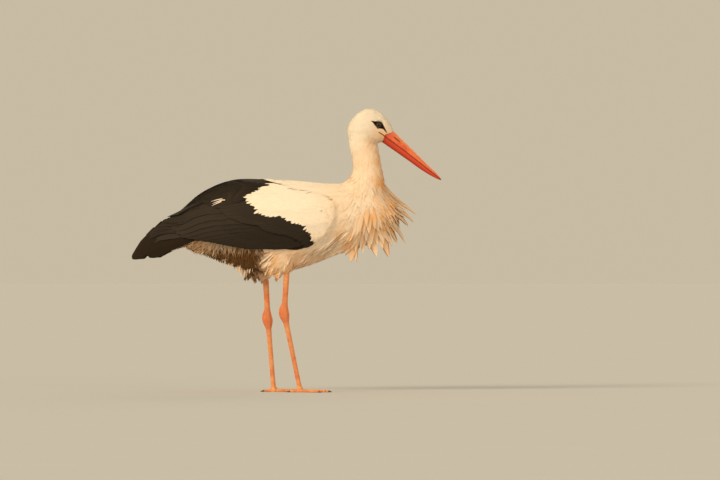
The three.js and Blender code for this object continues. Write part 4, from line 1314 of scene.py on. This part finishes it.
class STORK_OT_neck_coat(Operator):
    """Lay the feathers of the neck, longer towards its root"""

    bl_idname = "stork.neck_coat"
    bl_label = "Neck coat"

    def execute(self, context):
        sizes, rng, ground = context.scene.stork_feathers, np.random.default_rng(5), cover()

        def wanted(points, normals):
            high = points[:, 2] > 508 * MM + 0.6 * np.maximum(points[:, 0] - 168 * MM, 0)
            return ~on_head(points) & high & (points[:, 0] > 128 * MM) & behind_bill(points)

        def spacing(points):
            return (2.6 + 1.2 * ramp(points[:, 2], 615 * MM, 535 * MM)) * MM

        roots = ground.scatter(wanted, spacing, rng)
        low = ramp(roots[:, 2], 615 * MM, 535 * MM)
        length, width = 14 * MM + (sizes.neck - 14 * MM) * low, (4.2 + 3 * low) * MM
        coat = Coat("neck_coat", soft=0.7)
        loose = 0.5 * (rng.random((len(roots), 1)) < 0.1)
        grow(coat, ground, roots, body_lie, CONTOUR, length, width, rng, sink=2 * MM, thick=0.24 * MM, stray=0.12,
             lift=(0.5 + 2 * loose[:, 0]) * MM, hold=1 - loose * CONTOUR[:, 0], tone=0.55)
        coat.build()
        return {"FINISHED"}


class STORK_OT_mantle(Operator):
    """Lay the white mantle over the shoulders, down to the point where the black feathers meet over the back"""

    bl_idname = "stork.mantle"
    bl_label = "Mantle"

    def execute(self, context):
        sizes, rng, ground = context.scene.stork_feathers, np.random.default_rng(7), cover()

        def wanted(points, normals):
            return inside_outline(MANTLE + mm(6, 0), points) & (normals[:, 2] > -0.2)

        roots = ground.scatter(wanted, 3.8 * MM, rng)
        tips = roots + body_lie(roots) * sizes.mantle * 0.9
        roots = roots[inside_outline(MANTLE, tips)]
        coat = Coat("mantle_coat", soft=0.75)
        grow(coat, ground, roots, body_lie, POINTED, sizes.mantle, 9.5 * MM, rng, sink=2.6 * MM, lift=0.5 * MM,
             camber=0.06, tone=0.55, spread=0.2)
        # a broken line of thin dark vanes that paint the shadow where the mantle parts from the wing's coverts
        gap_shadows = mm([16, 507.5], [27, 503.5], [46, 501.5], [62, 497.5])
        for side in SIDES.values():
            places = np.stack([gap_shadows[:, 0], side * ground.half_width(*gap_shadows.T, side), gap_shadows[:, 1]], 1)
            turn = rng.normal(0, 0.12, len(gap_shadows))
            lines, normals = laid_lines(ground, places, body_lie, np.full(len(gap_shadows), 17 * MM), LANCE[:, 0], turn)
            lines += normals * 0.9 * MM
            coat.add(lines, normals, LANCE, THIN, 1.0 * MM, 0.3 * MM, unrolled(places), 0.0, 0.3, dark=1.0)
        coat.build()
        return {"FINISHED"}


# the flank's plumes along the underside, by their tips: [x, z, width, length, distance out]
FLANK_TIPS = np.array([
    [106, 340, 7, 64, 46], [95, 341, 6, 60, 48], [84, 338, 7, 62, 50], [73, 335, 6, 60, 50], [62, 328, 7, 62, 50],
    [51, 323, 6, 58, 50], [40, 317, 7, 58, 50], [29, 311, 6, 54, 48], [18, 306, 6, 50, 48], [8, 300, 6, 46, 48],
])


class STORK_OT_body_coat(Operator):
    """Lay the coat of the belly, and the long plumes of the flanks that stream back from the breast to the thighs"""

    bl_idname = "stork.body_coat"
    bl_label = "Body and flank coat"

    def execute(self, context):
        sizes, rng, ground = context.scene.stork_feathers, np.random.default_rng(11), flesh()

        def below(points, normals):
            body = (points[:, 2] < 500 * MM) & ~inside_outline(MANTLE, points) & ~inside_outline(VENT, points)
            return body & ~on_thigh(points, "right") & ~on_thigh(points, "left")

        roots = ground.scatter(below, 6.4 * MM, rng)
        outside, _ = cover().nearest(roots)
        roots = roots[np.linalg.norm(outside - roots, axis=1) < UNSEEN]
        coat = Coat("body_coat", soft=0.6)
        grow(coat, ground, roots, body_lie, CONTOUR, 34 * MM, 11 * MM, rng, sink=4 * MM, lift=0.9 * MM, stray=0.16,
             drop=under_wing)

        def flank(points, normals):
            return inside_outline(FLANK, points) & (np.abs(points[:, 1]) > 12 * MM)

        def streaming(points):
            return np.broadcast_to(unit(np.array([-0.71, 0.0, -0.7])), points.shape)

        roots = ground.scatter(flank, 5.2 * MM, rng)
        grow(coat, ground, roots, streaming, LANCE, sizes.flank, 6.5 * MM, rng, sink=3.5 * MM, lift=2.8 * MM,
             stray=0.07, hold=np.linspace(1, 0.45, len(LANCE)), camber=0.25, spread=0.5, drop=under_wing)
        # some of the flank's plumes are darkened at random with painted brown shade
        for side in SIDES.values():
            for back in (0, 10, 20, 32, 46):
                rows = FLANK_TIPS * [1, 1, 0.8, 1, 1] + rng.normal(0, 2, FLANK_TIPS.shape) * [1, 1, 0.2, 2, 0.5]
                blades(coat, ground, rows, streaming, side, rng, gap=(4 + 0.06 * back) * MM, buff=0.6,
                       brown_shade=rng.choice([0, 0.1, 0.5], len(rows)), back=back * MM)
        coat.build()
        return {"FINISHED"}


# tips, as in FLANK_TIPS, of the pointed plumes at the edges of each thigh
THIGH_TIPS = {
    "right": [[-26, 277.5, 5, 52, 46], [-36, 283, 5, 50, 50], [-54, 290, 5.5, 52, 52], [-45, 286, 4.5, 48, 44],
              [-62, 303, 5, 46, 50], [-16, 284, 5, 44, 48], [-68, 318, 6, 44, 52], [-6, 292, 5, 40, 50]],
    "left": [[-61, 269, 5, 52, 52], [-84, 279.5, 5, 50, 50], [-98, 289, 5.5, 52, 48], [-72, 274, 4.5, 48, 56],
             [-90, 284, 5, 46, 58], [-108, 304, 5, 44, 52]],
}
THIGH_EDGE = mm([22, 372], [12, 330], [4, 300], [-6, 289], [-16, 284], [-26, 278], [-36, 283], [-45, 286], [-54, 290],
                [-62, 303], [-68, 318], [-74, 355], [-60, 385])


class STORK_OT_thigh_coats(Operator):
    """Lay the long narrow plumes of the thighs, which end in points round the tops of the legs"""

    bl_idname = "stork.thigh_coats"
    bl_label = "Thigh coats"

    def execute(self, context):
        sizes, ground = context.scene.stork_feathers, flesh()
        for name, side in SIDES.items():
            rng = np.random.default_rng(13)
            roots = ground.scatter(lambda points, normals: on_thigh(points, name), 4 * MM, rng)
            edge = THIGH_EDGE + mm(-38, -7) * (side > 0)
            reach = reach_within(edge, roots, thigh_lie, 1.2 * sizes.thigh)
            length = np.clip(reach * rng.uniform(0.75, 1, len(roots)), 16 * MM, sizes.thigh)
            coat = Coat("thigh_coat_" + name, soft=0.4)
            grow(coat, ground, roots, thigh_lie, LANCE, length, 6 * MM, rng, sink=2.5 * MM, lift=1.8 * MM, stray=0.07,
                 hold=np.linspace(1, 0.5, len(LANCE)), camber=0.3, spread=0.4, drop=under_wing)
            for back in (0, 9, 20):
                stray = rng.normal(0, 0.6 + 0.1 * back, (len(THIGH_TIPS[name]), 5))
                rows = THIGH_TIPS[name] + stray * [1, 1, 0.2, 1, 0.5]
                blades(coat, ground, rows, thigh_lie, side, rng, gap=(3 + 0.1 * back) * MM, buff=0.45, back=back * MM)
            coat.build()
        return {"FINISHED"}


# tips, as in FLANK_TIPS, of the ragged edge of the breast's plumes
BREAST_TIPS = np.array([
    [324, 443, 9, 122, 12], [317, 424, 8, 98, 17], [303, 413.5, 9, 92, 20], [292, 448.5, 8, 78, 16],
    [298, 372, 9, 96, 14], [286, 386, 9, 80, 20], [276, 371, 10, 90, 18], [264, 362.5, 12, 90, 22],
    [254, 339, 18, 96, 26], [240, 356, 14, 84, 32], [224, 339, 22, 96, 34], [207, 355, 15, 86, 38],
    [190, 346, 13, 84, 40], [172, 323.5, 8, 96, 38], [159, 326, 23, 98, 42], [143, 343, 13, 84, 44],
    [126, 345, 12, 74, 46], [112, 339, 9, 74, 46],
])
RUFF_EDGE = mm([236, 575], [246, 535], [262, 505], [290, 478], [322, 443], [316, 425], [303, 413], [298, 372],
               [276, 371], [264, 362], [254, 339], [238, 352], [224, 339], [208, 350], [190, 338], [172, 324],
               [159, 327], [144, 336], [126, 345], [111, 340], [96, 352], [92, 400], [94, 450], [100, 480],
               [120, 515], [180, 550])


class STORK_OT_breast_plumes(Operator):
    """Hang the long lance-shaped plumes of the breast, which end in a ragged edge in front of and below it"""

    bl_idname = "stork.breast_plumes"
    bl_label = "Breast plumes"

    def execute(self, context):
        sizes, rng, ground = context.scene.stork_feathers, np.random.default_rng(17), cover()

        def wanted(points, normals):
            return inside_outline(BREAST, points) & (points[:, 2] < 578 * MM)

        roots = ground.scatter(wanted, 4.6 * MM, rng)
        reach = reach_within(RUFF_EDGE, roots, plume_lie, sizes.breast)
        front = ramp(roots[:, 0], 205 * MM, 240 * MM) * ramp(roots[:, 2], 430 * MM, 480 * MM)
        high = ramp(roots[:, 2], 490 * MM, 560 * MM)
        length = np.clip(reach * rng.uniform(0.72, 1.0, len(roots)), 18 * MM, sizes.breast * (1 - 0.5 * high))
        keep = reach > 15 * MM
        roots, front, high, length = (values[keep] for values in (roots, front, high, length))
        hold = 1 - (0.35 + 0.5 * front[:, None]) * ramp(LANCE[:, 0], 0.2, 0.9)
        material = white_keratin("white_plume_keratin", roughness=0.85)
        coat = Coat("breast_plumes_coat", soft=0.45)
        grow(coat, ground, roots, plume_lie, LANCE, length, (9 - 3 * high) * MM, rng, sink=3 * MM,
             lift=(1.2 + 1.5 * front) * MM, stray=0.08, hold=hold, camber=0.2, tone=0.45)
        coat.build(["breast_plumes"], material)

        edge = Coat("breast_blades_coat", soft=0.35)
        between = (BREAST_TIPS[:-1] + BREAST_TIPS[1:]) / 2
        for side in SIDES.values():
            for rows, spread, back, gap, inward in (
                (BREAST_TIPS, 0.3, 0, 5, 1.0), (BREAST_TIPS, 0.6, 3, 4, 0.7), (BREAST_TIPS, 0.6, 5, 3, 0.4),
                (BREAST_TIPS, 0.6, 4, 2, 0.12), (between, 2.0, 22, 7, 1.0), (BREAST_TIPS, 2.0, 40, 8, 1.0),
                (between, 2.5, 58, 8.5, 1.0),
            ):
                low, ahead = ramp(-rows[:, 1], -390, -350), ramp(rows[:, 0], 265, 305)
                rows = rows * [1, 1, 1, 1, inward] - np.outer(back * (1 - 0.4 * low), [0, 0, 0, 0.3, 0])
                rows = rows + rng.normal(0, 1, rows.shape) * [1, 1, 0.3, 2, 0.5] * (spread + 0.8 * (side > 0))
                # buff stain with painted warm shade, weaker low and at the front, and painted brown shade, stronger on
                # the plumes whose tips hang higher
                blades(edge, ground, rows, plume_lie, side, rng, gap=gap * MM, buff=1.2 - 0.35 * low - 0.6 * ahead,
                       brown_shade=0.08 + 0.27 * (1 - low), inward=inward, back=back * MM)
        edge.build(material=material)
        return {"FINISHED"}


# tips, as in FLANK_TIPS, of the loose plumes that hang lowest under the tail
VENT_TIPS = np.array([
    [-231, 346, 7, 44, 10], [-222, 345, 6, 40, 26], [-212, 343, 7, 44, 18], [-196, 339, 8, 46, 8],
    [-188, 341, 6, 42, 30], [-180, 337, 7, 46, 20], [-164.5, 335.5, 8, 46, 12], [-156, 327, 6, 44, 28],
    [-150.5, 320, 8, 48, 18], [-144, 319, 7, 46, 8], [-138, 313, 7, 44, 26], [-126, 304, 8, 48, 16],
    [-119, 298, 6, 46, 34], [-112, 289, 7, 46, 22], [-100, 300, 8, 46, 12], [-92, 296, 7, 44, 30],
])


class STORK_OT_vent_coat(Operator):
    """Hang the loose plumes behind the thighs and under the tail, darkened there with painted brown shade"""

    bl_idname = "stork.vent_coat"
    bl_label = "Vent coat"

    def execute(self, context):
        sizes, rng, ground = context.scene.stork_feathers, np.random.default_rng(19), flesh()

        def wanted(points, normals):
            return inside_outline(VENT, points) & (normals[:, 2] < 0.2) & (points[:, 2] < 392 * MM)

        roots = ground.scatter(wanted, 3.7 * MM, rng)
        back = ramp(roots[:, 0], -190 * MM, -270 * MM)
        coat = Coat("vent_coat", soft=0.4)
        grow(coat, ground, roots, vent_lie, LANCE, sizes.vent * (1 - 0.45 * back), 4.8 * MM, rng, sink=3 * MM,
             lift=4 * MM, stray=0.4, hold=np.linspace(0.9, 0.1, len(LANCE)), droop=0.1, camber=0.25, tone=0.2,
             drop=under_wing)
        for side in SIDES.values():
            for _ in range(4):
                rows = VENT_TIPS * [1, 1, 0.5, 0.8, 1] + rng.normal(0, 1, VENT_TIPS.shape) * [4, 2, 0.5, 4, 4]
                blades(coat, ground, rows, vent_lie, side, rng, gap=2 * MM, buff=0.6, inward=0.4, tone=0.4)
        coat.build(["vent_plumes"])
        return {"FINISHED"}


# ---- folded wings
# [x, top, bottom, half-width] of the form that both folded wings make round the body
WING_FORM = mm(
    [-400, 330, 296, 12], [-386, 349, 290, 25], [-357, 391, 292, 33], [-335, 414, 294, 39], [-305, 437, 298, 45],
    [-262, 457, 304, 57], [-232, 486, 306, 66], [-190, 512, 306, 79], [-150, 527, 302, 90], [-80, 534, 296, 101],
    [-20, 533, 294, 105], [40, 531, 304, 103], [104, 524, 326, 94], [150, 522, 344, 82],
)


def wing_section(x):
    """The middle height, half-height and half-width of the wings' form at places along the bird."""
    top, bottom, half = np.moveaxis(smooth_rows(WING_FORM, x), -1, 0)
    share = np.clip((x - WING_FORM[0, 0]) / (WING_FORM[-1, 0] - WING_FORM[0, 0]), 0, 1)
    near_end = np.clip(np.minimum(share, 1 - share) / 0.05, 0, 1)
    taper = np.maximum(0.12, np.sqrt(1 - (1 - near_end) ** 2))
    return (top + bottom) / 2, (top - bottom) / 2 * taper, half * taper


def wing_place(x, angle, side, depth):
    """Places on the wings' form: `angle` goes round from the back's ridge, and `depth` is how far under it they lie."""
    middle, high, half = wing_section(x)
    return np.stack([x, side * (half - depth) * np.sin(angle), middle + (high - depth) * np.cos(angle)], -1)


def wing_angle(x, z):
    """How far round the wings' form a side-view place lies."""
    middle, high, _ = wing_section(x)
    return np.arccos(np.clip((z - middle) / high, -1, 1))


def on_form(places):
    """Side-view places as [x, angle] on the wings' form."""
    return np.stack([places[:, 0], wing_angle(places[:, 0], places[:, 1])], 1)


def flight_row(coat, side, roots, tips, depths, width, rng, *, dark=1.0, outline=FLIGHT, skew=0.2, thick=0.4 * MM,
               surfacing=1.0):
    """Adds a row of long feathers to a wing, from roots to tips in [x, angle] on its form.

    Each lies from its first to its second depth under the form, and `surfacing` is how soon it comes up.
    """
    count, t = len(roots), outline[None, :, 0]
    x = roots[:, :1] + (tips[:, :1] - roots[:, :1]) * t
    angle = roots[:, 1:] + (tips[:, 1:] - roots[:, 1:]) * t
    depth = depths[:, 1:] + (depths[:, :1] - depths[:, 1:]) * (1 - t) ** surfacing
    lines = wing_place(x, angle, side, depth)
    along = wing_place(x + 1 * MM, angle, side, depth) - lines
    around = wing_place(x, angle + 0.01, side, depth) - lines
    normals = unit(np.cross(along, around) * -side)
    notch = 1 - 0.03 * rng.random((count, len(outline)))
    width = width * rng.uniform(0.95, 1.05, count)
    tones = rng.uniform(0, 1, count)
    coat.add(lines, normals, outline, SHAFTED, width, thick, roots, tones, 0.0, dark, skew=skew * side, camber=0.04,
             notch=notch, strips=True)


PRIMARY_TIPS = mm([-387, 337], [-384, 346], [-376, 360], [-362, 378], [-346, 396], [-328, 411], [-312, 426],
                  [-300, 440])
PRIMARY_ROOTS = mm([-110, 372], [-110, 378], [-112, 388], [-116, 400], [-120, 415], [-126, 430])
SECONDARY_ROOTS = mm([64, 374], [40, 388], [0, 408], [-40, 428], [-70, 452])
SECONDARY_TIPS = mm([-60, 362], [-120, 366], [-180, 376], [-228, 382], [-262, 386], [-286, 408], [-299, 436],
                    [-300, 456])
COVERT_EDGE = mm([68, 370], [57, 390], [40, 409], [8, 422], [-12, 435], [-47, 438], [-80, 450], [-104, 478])


class STORK_OT_flight_feathers(Operator):
    """Fold the primaries, the secondaries and the greater coverts over their bases on each wing"""

    bl_idname = "stork.flight_feathers"
    bl_label = "Flight feathers"

    def execute(self, context):
        black, broad = black_keratin(), context.scene.stork_feathers.flight_width
        for name, side in SIDES.items():
            rng = np.random.default_rng(23)
            primaries = Coat("primaries_" + name, soft=0.8)
            share = np.linspace(0, 1, 9)
            depth = np.stack([9 - 2 * share, 6.5 - 4.5 * share], 1) * MM
            roots, tips = (on_form(along_line(line, share)) for line in (PRIMARY_ROOTS, PRIMARY_TIPS))
            flight_row(primaries, side, roots, tips, depth, 0.85 * broad, rng)
            primaries.build(["wing_primaries_" + name], black)

            secondaries = Coat("secondaries_" + name, soft=0.88)
            share = np.linspace(0, 1, 19)
            depth = np.stack([9 - 1.5 * share, 4.5 - 2.5 * share], 1) * MM
            roots, tips = (on_form(along_line(line, share)) for line in (SECONDARY_ROOTS, SECONDARY_TIPS))
            short = 0.55 + 0.45 * ramp(share, 0, 0.3)
            flight_row(secondaries, side, roots, tips, depth, (broad + 6 * share * MM) * short, rng, skew=0.15)
            share = np.linspace(0, 1, 22)
            edge = along_line(COVERT_EDGE, share)
            back = ramp(share, 0, 0.4)[:, None]
            roots = on_form(edge + mm(22, 10) * back)
            reach = np.stack([-62 - 14 * share, -20 + 14 * share], 1) * MM
            tips = on_form(edge + reach * (0.42 + 0.58 * back))
            depth = np.tile(mm(5.5, 1.8), (22, 1))
            flight_row(secondaries, side, roots, tips, depth, (11 + 13 * back[:, 0]) * MM, rng, skew=0.1,
                       thick=0.35 * MM, surfacing=2.0)
            secondaries.build(["wing_secondaries_" + name], black)
        return {"FINISHED"}


# where the black scapulars start, from the back's ridge round to the wing: [x, degrees round]
SCAPULAR_START = np.array([[-80, 1], [-68, 6], [-54, 12], [-41, 19], [-42, 26], [-50, 33], [-64, 40], [-84, 47],
                           [-104, 53]])


class STORK_OT_scapulars(Operator):
    """Lay the black scapulars over the back, with the few white feathers that show among them"""

    bl_idname = "stork.scapulars"
    bl_label = "Scapulars"

    def execute(self, context):
        black = black_keratin()
        for name, side in SIDES.items():
            rng = np.random.default_rng(29)
            coat = Coat("scapulars_" + name, soft=0.75)
            start = SCAPULAR_START * [MM, math.pi / 180]
            end = np.stack([np.linspace(-286, -186, len(start)) * MM, np.radians(np.linspace(3, 58, len(start)))], 1)
            # four rows like tiles: each starts nearer the head than the one before, and lies over it
            for first, last, deep, count in ((0.3, 1.0, 2.6, 15), (0.14, 0.78, 2.0, 17), (0.04, 0.56, 1.5, 19),
                                             (-0.07, 0.36, 1.1, 21)):
                share = np.linspace(0, 1, count)
                roots, tips = along_line(start, share), along_line(end, share)
                roots, tips = roots + (tips - roots) * first, roots + (tips - roots) * last
                depth = np.tile(mm(deep + 6, deep), (count, 1))
                flight_row(coat, side, roots, tips, depth, (27 - 4 * share) * MM, rng, skew=0.1, surfacing=3.0)
            coat.build(["wing_scapulars_" + name], black)

            slip = Coat("white_slip_" + name, soft=0.6)
            roots = on_form(mm([-146, 485], [-147, 483], [-149, 481], [-151, 482], [-146, 480]))
            tips = on_form(mm([-189, 475], [-186, 469.5], [-187, 464], [-178, 473], [-168, 478]))
            flight_row(slip, side, roots, tips, np.tile(mm(3, 0.5), (5, 1)), 2.4 * MM, rng, dark=0,
                       outline=LANCE, skew=0, surfacing=3.0)
            slip.build()
        return {"FINISHED"}


# the white coverts' outline in the side view
COVERTS = mm([117, 478], [125, 450], [118, 424], [99, 392], [72, 366], [66, 371], [57, 390], [40, 409], [8, 422],
             [-12, 435], [-47, 438], [-80, 450], [-106, 483], [-78, 501], [-44, 515], [-25, 521], [7, 513], [60, 503],
             [98, 496])


class STORK_OT_coverts(Operator):
    """Lay the white coverts of each wing, from the small ones of its front edge to the last long row"""

    bl_idname = "stork.coverts"
    bl_label = "Wing coverts"

    def execute(self, context):
        sizes, ground = context.scene.stork_feathers, cover()
        for name, side in SIDES.items():
            rng = np.random.default_rng(31)

            def wanted(points, normals):
                outside = (points[:, 1] * side > 25 * MM) & (normals[:, 1] * side > -0.1)
                return outside & inside_outline(COVERTS, points)

            def big(points):
                ahead = np.hypot(points[:, 0] - 150 * MM, points[:, 2] - 430 * MM)
                return ramp(ahead, 30 * MM, 170 * MM)

            roots = ground.scatter(wanted, lambda points: (3.1 + 0.6 * big(points)) * MM, rng)
            length = 14 * MM + (sizes.covert - 14 * MM) * big(roots)
            tips = roots + unit(wing_lie(roots)) * (length * 0.92)[:, None]
            tips[:, 0] += rng.normal(0, 2 * MM, len(tips))
            fits = inside_outline(COVERTS, tips)
            roots, length = roots[fits], length[fits]
            coat = Coat("coverts_" + name, soft=0.75)
            grow(coat, ground, roots, wing_lie, POINTED, length, (6 + 1.5 * big(roots)) * MM, rng, sink=2.2 * MM,
                 lift=0.5 * MM, camber=0.06, tone=0.6, spread=0.2)
            coat.build(["wing_coverts_" + name])
        return {"FINISHED"}


class STORK_OT_wing_beds(Operator):
    """Draw in the downy bed of each folded wing, which its long feathers lie on"""

    bl_idname = "stork.wing_beds"
    bl_label = "Wing beds"

    def execute(self, context):
        down = wing_down()
        for name, side in SIDES.items():
            mesh = remeshed("wing_bed_" + name, [f"{node}_{name}" for node in WING_NODES], 3 * MM, 16)
            points, normals = coordinates(mesh), vertex_normals(mesh)
            outer = (normals[:, 1] * side > 0) | (normals[:, 2] > 0.5)
            depth = np.where(outer, 7, 1.5) * MM * ramp(points[:, 0], -380 * MM, -300 * MM)
            points -= normals * depth[:, None]
            points[:, 2] -= 2.5 * MM * ramp(points[:, 2], 500 * MM, 522 * MM)
            move_vertices(mesh, points)
            ahead = (points[:, 0] > 20 * MM) & (points[:, 2] > 470 * MM)
            white = ahead | (points[:, 0] > 96 * MM) | inside_outline(COVERTS, points)
            set_values(mesh, "dark", 1.0 - white)
            add_piece("wing_bed_" + name, mesh, down)
        return {"FINISHED"}


class STORK_OT_tail(Operator):
    """Fan the twelve white tail feathers a little between the wing tips"""

    bl_idname = "stork.tail"
    bl_label = "Tail"

    def execute(self, context):
        rng = np.random.default_rng(37)
        fan = np.linspace(-1, 1, 12)
        order = np.abs(fan)
        root = np.stack([-200 + 0 * fan, 12 * fan, 400 - 3 * order], 1) * MM
        tip = np.stack([-318 + 9 * order**2, 27 * fan, 356 + 1.5 * (1 - order)], 1) * MM
        t = FLIGHT[:, 0][None, :, None]
        lines = root[:, None] + (tip - root)[:, None] * t
        lines[..., 2] -= 4 * MM * np.sin(np.pi * t[..., 0]) + order[:, None] * 2.6 * MM
        normals = unit(np.stack([0.3 + 0 * fan, 0.25 * fan, 1 + 0 * fan], 1))[:, None] + 0 * lines
        notch = 1 - 0.04 * rng.random((len(fan), len(FLIGHT)))
        coat = Coat("tail_feathers", soft=0.5)
        coat.add(lines, normals, FLIGHT, SHAFTED, 25 * MM, 0.45 * MM, root[:, :2],
                 rng.uniform(0, 1, len(fan)), 0.2, skew=-0.2 * np.sign(fan), camber=0.06, notch=notch, strips=True)
        coat.build(["tail"])
        return {"FINISHED"}


# ---- stage
VIEW_MIDDLE = mm(182.5, 0, 380)
FLOOR_REACH = 400  # metres: so far that its edge is the horizon


class STORK_OT_stage(Operator):
    """Set up the camera, the soft studio lights and a plain pale floor that runs out of sight"""

    bl_idname = "stork.stage"
    bl_label = "Studio"

    def execute(self, context):
        scene, stage = context.scene, context.scene.stork_stage
        camera = add_object("camera", bpy.data.cameras.new("camera"))
        camera.location = (VIEW_MIDDLE[0], -stage.away, stage.height)
        camera.rotation_euler = (math.pi / 2, 0, 0)
        camera.data.lens = stage.lens
        view_width = camera.data.sensor_width / stage.lens * stage.away
        camera.data.shift_y = (VIEW_MIDDLE[2] - stage.height) / view_width
        camera.data.clip_end = 3 * FLOOR_REACH
        scene.camera = camera

        world = bpy.data.worlds.new("soft_room")
        world.use_nodes = True
        scene.world = world
        set_node(world.node_tree.nodes["Background"], {"Color": [*stage.room, 1], "Strength": 1})
        room, key = np.array(stage.room), np.array(stage.key)
        light_on_floor = room.copy()
        for name, way, power, colour, softness in (
            ("key", (-0.62, -0.62, 0.48), stage.key_power, key, 20),
            ("rim", (0.3, 0.9, 0.5), 0.5, key, 30),
            ("fill", (0.5, -0.85, 0.1), 1.1, key, 50),
        ):
            light = add_object(name, bpy.data.lights.new(name, "SUN"))
            light.data.energy = power
            light.data.color = colour
            light.data.angle = math.radians(softness)
            light.rotation_euler = Vector(way).to_track_quat("Z", "Y").to_euler()
            light_on_floor += power * colour * way[2] / np.linalg.norm(way) / math.pi
        scene.view_settings.view_transform = "Standard"

        # paper that gives back as much light as the room sends, so that no line shows where they meet
        turn = np.linspace(0, 2 * np.pi, 96, endpoint=False)
        rim = FLOOR_REACH * np.stack([np.cos(turn), np.sin(turn), 0 * turn], 1)
        floor = add_object("floor", mesh_from("floor", rim, np.arange(len(turn))[None]))
        floor.data.materials.append(matt_paper(room / light_on_floor))
        return {"FINISHED"}


# ---- the add-on
SETTINGS = {"stork_finishes": StorkFinishes, "stork_feathers": StorkFeathers, "stork_stage": StorkStage}
OPERATORS = [
    STORK_OT_stage, STORK_OT_skin, STORK_OT_eyes, STORK_OT_bill, STORK_OT_legs, STORK_OT_claws, STORK_OT_wing_beds,
    STORK_OT_head_coat, STORK_OT_neck_coat, STORK_OT_mantle, STORK_OT_body_coat, STORK_OT_thigh_coats,
    STORK_OT_breast_plumes, STORK_OT_vent_coat, STORK_OT_flight_feathers, STORK_OT_scapulars, STORK_OT_coverts,
    STORK_OT_tail,
]


class STORK_PT_sidebar(Panel):
    """Lists the stork's settings and the steps that build it"""

    bl_label = "White Stork"
    bl_idname = "STORK_PT_sidebar"
    bl_space_type = "VIEW_3D"
    bl_region_type = "UI"
    bl_category = "Stork"

    def draw(self, context):
        for name, kind in SETTINGS.items():
            box = self.layout.box()
            box.label(text=name.replace("_", " ").capitalize())
            for setting in kind.__annotations__:
                box.prop(getattr(context.scene, name), setting)
        for kind in OPERATORS:
            self.layout.operator(kind.bl_idname)


def register():
    for kind in [*SETTINGS.values(), *OPERATORS, STORK_PT_sidebar]:
        bpy.utils.register_class(kind)
    for name, kind in SETTINGS.items():
        setattr(bpy.types.Scene, name, PointerProperty(type=kind))


def unregister():
    for name in SETTINGS:
        delattr(bpy.types.Scene, name)
    for kind in reversed([*SETTINGS.values(), *OPERATORS, STORK_PT_sidebar]):
        bpy.utils.unregister_class(kind)


def main():
    register()
    for kind in OPERATORS:
        getattr(bpy.ops.stork, kind.bl_idname.split(".")[1])()


if __name__ == "__main__":
    main()
